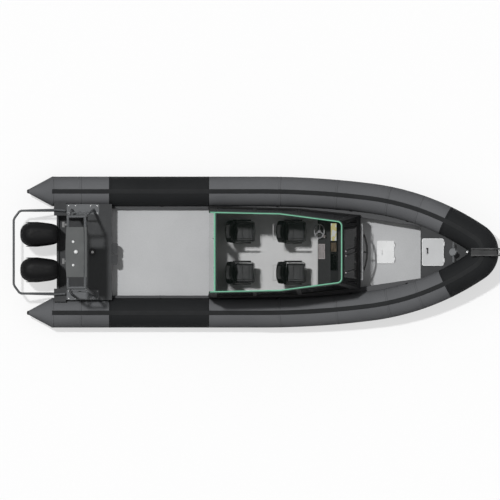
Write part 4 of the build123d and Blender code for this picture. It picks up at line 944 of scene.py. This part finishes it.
# Bow hatch: a pale rim and a rubber grip; tow post: a cap
rim = lid_rims["bow_hatch"]
ribbon("bow_hatch_rim", rim, (0.001, 0.012), (-0.001, 0.0014), "bow_hatch", "hatch_white")
grip_at = landing(surface("bow_hatch_lid"), (3.769, 0.03, 4), DOWN)[0]
grip_black = rubber("grip black", shade(34))
GRIP = (0.046, 0.125, 0.014)
block("bow_hatch_grip", grip_at, GRIP, "bow_hatch", "roller_rubber", grip_black, 50, round_off=0.005)
POST_CAP = [(0, -0.004), (0.026, -0.004), (0.026, 0.004), (0.016, 0.012), (0, 0.014)]
post_top = landing(surface("tow_post"), (-3.597, 0, 4), DOWN)[0]
cap = bmesh.new()
add_turned(cap, POST_CAP, post_top, UP, 24)
from_bmesh("tow_post_cap", cap, "hull", "steel", smooth=40)

# Seats: padded pans and backs, each made once about its own middle
SEATS = [(x, side * 0.451) for x in (-0.682, 0.440) for side in SIDES]
PAN_HALF, PAN_AT = (0.218, 0.225, 0.050), Vector((0.208 + 0.2275, 0, 0.762))
BACK_HALF, BACK_AT = (0.080, 0.252, 0.398), Vector((0, 0, 1.068))
BACK_TALL, BACK_SIDE, HEAD_FROM = 0.80, 0.25, 0.72
VOXEL, SWELL_CAP, SWELL_FRAMES = 0.012, 0.012, 20


def pillow(shape, half, round_off, cuts, mould):
    """A closed padded form: a finely cut block, rounded off, then moulded by a function."""
    made = bmesh.ops.create_cube(shape, size=2)
    bmesh.ops.subdivide_edges(shape, edges=edges_of(made["verts"]), cuts=cuts, use_grid_fill=True)
    half = Vector(half)
    for v in list(shape.verts):
        p = Vector([v.co[k] * half[k] for k in range(3)])
        core = Vector([max(-(half[k] - round_off), min(half[k] - round_off, p[k])) for k in range(3)])
        away = p - core
        v.co = mould(core + (away.normalized() * round_off if away.length > 1e-9 else away))


def pan_form(q):
    """Seat pan before it is stuffed: softer at the front, its sides drawn in between the corners."""
    q.z -= max(0.0, q.z / 0.05) * max(0.0, q.x - 0.15) * 0.12
    pull = 0.008 * (1 - min(abs(q.z) / 0.05, 1) ** 2)
    q.x -= pull * (1 if q.x > 0 else -1) * min(abs(q.x) / 0.2, 1)
    q.y -= pull * (1 if q.y > 0 else -1) * min(abs(q.y) / 0.2, 1)
    return q


def up_back(z):
    """Share of the back's height."""
    return (z + BACK_TALL / 2) / BACK_TALL


def back_form(q):
    """Seat back before it is stuffed: leaning, bolstered, narrowing to a head pad."""
    t = up_back(q.z)
    narrow = 1 - 0.34 * max(0.0, t - 0.62) / 0.38
    side = abs(q.y) / BACK_SIDE
    aft = 0.046 * (1 - t) + 0.008
    depth = 0.155 - 0.045 * t
    forward = (q.x / 0.08 + 1) / 2
    opening = min(max((t - 0.24) / 0.2, 0.0), 1.0)
    hollow = 0.034 * opening * max(0.0, 1 - (side / 0.72) ** 4) * (1 if t < HEAD_FROM else 0.35)
    wrap = 0.030 * side**2 * (1 - 0.4 * t)
    x = aft + wrap + (depth + wrap * 0.6) * forward - hollow * max(0.0, forward * 2 - 1)
    return Vector((x, q.y * narrow, q.z))


def groove(value, at, width, depth):
    return depth * max(0.0, 1 - ((value - at) / width) ** 2) ** 2


def pan_seams(p, n):
    """How deep the seams and channels of the pan lie at a point."""
    if n.z < 0.3:
        return 0.004 * max(0.0, 1 - abs(p.z + 0.010) / 0.010)
    channels = groove(p.x, -0.045, 0.016, 0.007) + groove(p.x, 0.105, 0.016, 0.007)
    return (channels if abs(p.y) < 0.165 else 0.0) + groove(abs(p.y), 0.165, 0.016, 0.008)


def back_seams(p, n):
    """How deep the seams and channels of the back lie at a point."""
    t, side = up_back(p.z), abs(p.y) / BACK_SIDE
    if n.x < 0.25:
        return 0.004 * max(0.0, 1 - abs(p.x - 0.09) / 0.010) if abs(n.y) > 0.7 else 0.0
    depth = groove(t, HEAD_FROM, 0.018, 0.010)
    if t < HEAD_FROM:
        depth += groove(side, 0.70, 0.06, 0.009)
        if side < 0.70:
            depth += groove(t, 0.32, 0.018, 0.008) + groove(t, 0.52, 0.018, 0.008)
    return depth


def stuffed(name, shape):
    """Swells a closed form as its stuffing does: cloth under pressure, held to the cap at each point."""
    pad = linked(name + ".form", mesh_of(name, shape))
    even = pad.modifiers.new("even", "REMESH")
    even.mode = "VOXEL"
    even.voxel_size = VOXEL
    skin = evaluated(pad)
    pad.modifiers.clear()
    pad.data = skin
    cloth = pad.modifiers.new("stuffing", "CLOTH")
    cloth.settings.quality = 5
    cloth.settings.use_pressure = True
    cloth.settings.uniform_pressure_force = 4
    cloth.settings.effector_weights.gravity = 0
    cloth.collision_settings.use_collision = False
    cloth.point_cache.frame_end = SWELL_FRAMES
    for step in range(1, SWELL_FRAMES + 1):
        bpy.context.scene.frame_set(step)
    swollen = evaluated(pad)
    for point, moved in zip(skin.vertices, swollen.vertices):
        move = moved.co - point.co
        point.co += move * min(1.0, SWELL_CAP / max(move.length, 1e-9))
    pad.modifiers.clear()
    bpy.context.scene.frame_set(1)
    fine = pad.modifiers.new("fine", "SUBSURF")
    fine.levels = fine.render_levels = 1
    done = evaluated(pad)
    bpy.data.objects.remove(pad)
    return done


def sewn(mesh, depth_at):
    """Draws seams and channels in along the surface's own normals."""
    sunk = [depth_at(v.co, v.normal) for v in mesh.vertices]
    normals = [v.normal.copy() for v in mesh.vertices]
    for vertex, normal, depth in zip(mesh.vertices, normals, sunk):
        vertex.co -= normal * depth
    mesh.shade_smooth()
    return mesh


def cushion(name, half, round_off, cuts, form, seams):
    blank = bmesh.new()
    pillow(blank, half, round_off, cuts, form)
    return sewn(stuffed(name, blank), seams)


pan_mesh = cushion("seat_pan", PAN_HALF, 0.036, 20, pan_form, pan_seams)
back_mesh = cushion("seat_back", BACK_HALF, 0.034, 24, back_form, back_seams)
PADS = (
    ("pan", pan_mesh, PAN_AT, "seat_grey", "seat_cushions"),
    ("back", back_mesh, BACK_AT, "seat_black", "seat_backs"),
)
for number, (x, y) in enumerate(SEATS):
    for word, mesh, at, slot, stands_for in PADS:
        own = mesh.copy()
        own.transform(Matrix.Translation(at + Vector((x, y, 0))))
        pad = settle(f"seat_{word}_{number + 1}", own, "hull", slot)
        if number == 0:
            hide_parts(stands_for)

# Arm rests on their brackets, piping along the pans, and a bar behind each front seat
REST, REST_AT = (0.40, 0.036, 0.036), (0.375, 0.246, 1.035)
STAY, STAY_AT = (0.05, 0.018, 0.10), (0.20, 0.255, 0.985)
PIPING = [(0.24, -0.224), (0.61, -0.224), (0.648, -0.19), (0.660, 0)]
PIPING += [(a, -b) for a, b in reversed(PIPING[:-1])]
BAR = [(0.03, -0.17), (-0.062, -0.17), (-0.062, 0.17), (0.03, 0.17)]
PIPING_Z, BAR_Z = 0.782, 1.22


def seat_run(seat, path, z):
    return [Vector((seat[0] + a, seat[1] + b, z)) for a, b in path], False


arms = bmesh.new()
for x, y in SEATS:
    for side in SIDES:
        for size, at, round_off in ((REST, REST_AT, 0.012), (STAY, STAY_AT, 0.006)):
            add_box(arms, (x + at[0], y + side * at[1], at[2]), size, None, round_off)
from_bmesh("arm_rests", arms, "hull", "seat_black", smooth=50)
beads("seat_piping", [seat_run(seat, PIPING, PIPING_Z) for seat in SEATS], 0.006, "hull", "seat_black")
front_bars = [seat_run(seat, BAR, BAR_Z) for seat in SEATS if seat[0] > 0]
beads("seat_grab_bars", front_bars, 0.012, "hull", "alloy", moulded("seat bar", shade(204), 0.4), 12)

# Floor: pale to the camera, darker to the light that it throws back
CORNERS = [(-60, -60, 0), (60, -60, 0), (60, 60, 0), (-60, 60, 0)]
floor = linked("floor", bpy.data.meshes.new("floor"))
floor.data.from_pydata(CORNERS, [], [(0, 1, 2, 3)])
pale = Finish("floor", Roughness=0.9, Specular_IOR_Level=0.0)
rays = pale.node("ShaderNodeLightPath").outputs
pale.feed("Base Color", pale.mixed(rays["Is Diffuse Ray"], shade(247), shade(105)))
bright = pale.node("ShaderNodeEmission", {"Strength": 1.0}).outputs[0]
seen_share = pale.math("MULTIPLY", rays["Is Camera Ray"], 0.6)
both = pale.node("ShaderNodeMixShader", {0: seen_share, 1: pale.shader.outputs[0], 2: bright}).outputs[0]
pale.tree.links.new(both, pale.tree.nodes["Material Output"].inputs[0])
floor.data.materials.append(pale.material)

# World: soft light from above, a brighter horizon in gloss and glass, and white behind the boat
world = bpy.data.worlds.new("studio")
bpy.context.scene.world = world
world.use_nodes = True
sky = world.node_tree
sky.nodes.clear()
rays = add_node(sky, "ShaderNodeLightPath").outputs
way = add_node(sky, "ShaderNodeTexCoord").outputs["Generated"]
height = add_node(sky, "ShaderNodeSeparateXYZ", {0: way}).outputs["Z"]


def sky_level(top, at_low, at_top):
    """Light that changes with height in the sky, from near the horizon to top."""
    level = add_node(sky, "ShaderNodeMapRange", {0: height, 1: 0.1, 2: top, 3: at_low, 4: at_top})
    return add_node(sky, "ShaderNodeBackground", {"Strength": level.outputs[0]}).outputs[0]


fill, mirrored = sky_level(1.0, 0.07, 0.68), sky_level(0.9, 1.0, 0.22)
white = add_node(sky, "ShaderNodeBackground", {"Color": (1, 1, 1, 1), "Strength": 1.0}).outputs[0]
gloss = {0: rays["Is Glossy Ray"], 1: rays["Is Transmission Ray"]}
glossy = add_node(sky, "ShaderNodeMath", gloss, operation="MAXIMUM").outputs[0]
lit = add_node(sky, "ShaderNodeMixShader", {0: glossy, 1: fill, 2: mirrored}).outputs[0]
shown = add_node(sky, "ShaderNodeMixShader", {0: rays["Is Camera Ray"], 1: lit, 2: white}).outputs[0]
add_node(sky, "ShaderNodeOutputWorld", {0: shown})

# The key comes down from aft and to port
key = bpy.data.lights.new("key", "SUN")
key.energy = 2.25
key.angle = radians(3)
linked("key", key).rotation_euler = Vector((0.25, -0.24, -1)).to_track_quat("-Z", "Y").to_euler()

# Straight down, 22 mm to a pixel
PIXEL, IMAGE_WIDE = 0.022, 500
camera = bpy.data.cameras.new("camera")
camera.type = "ORTHO"
camera.ortho_scale = PIXEL * IMAGE_WIDE
camera.clip_end = 60
view = linked("camera", camera)
view.location = (-0.132, 0.046, 20)
bpy.context.scene.camera = view
bpy.context.scene.view_settings.view_transform = "Standard"
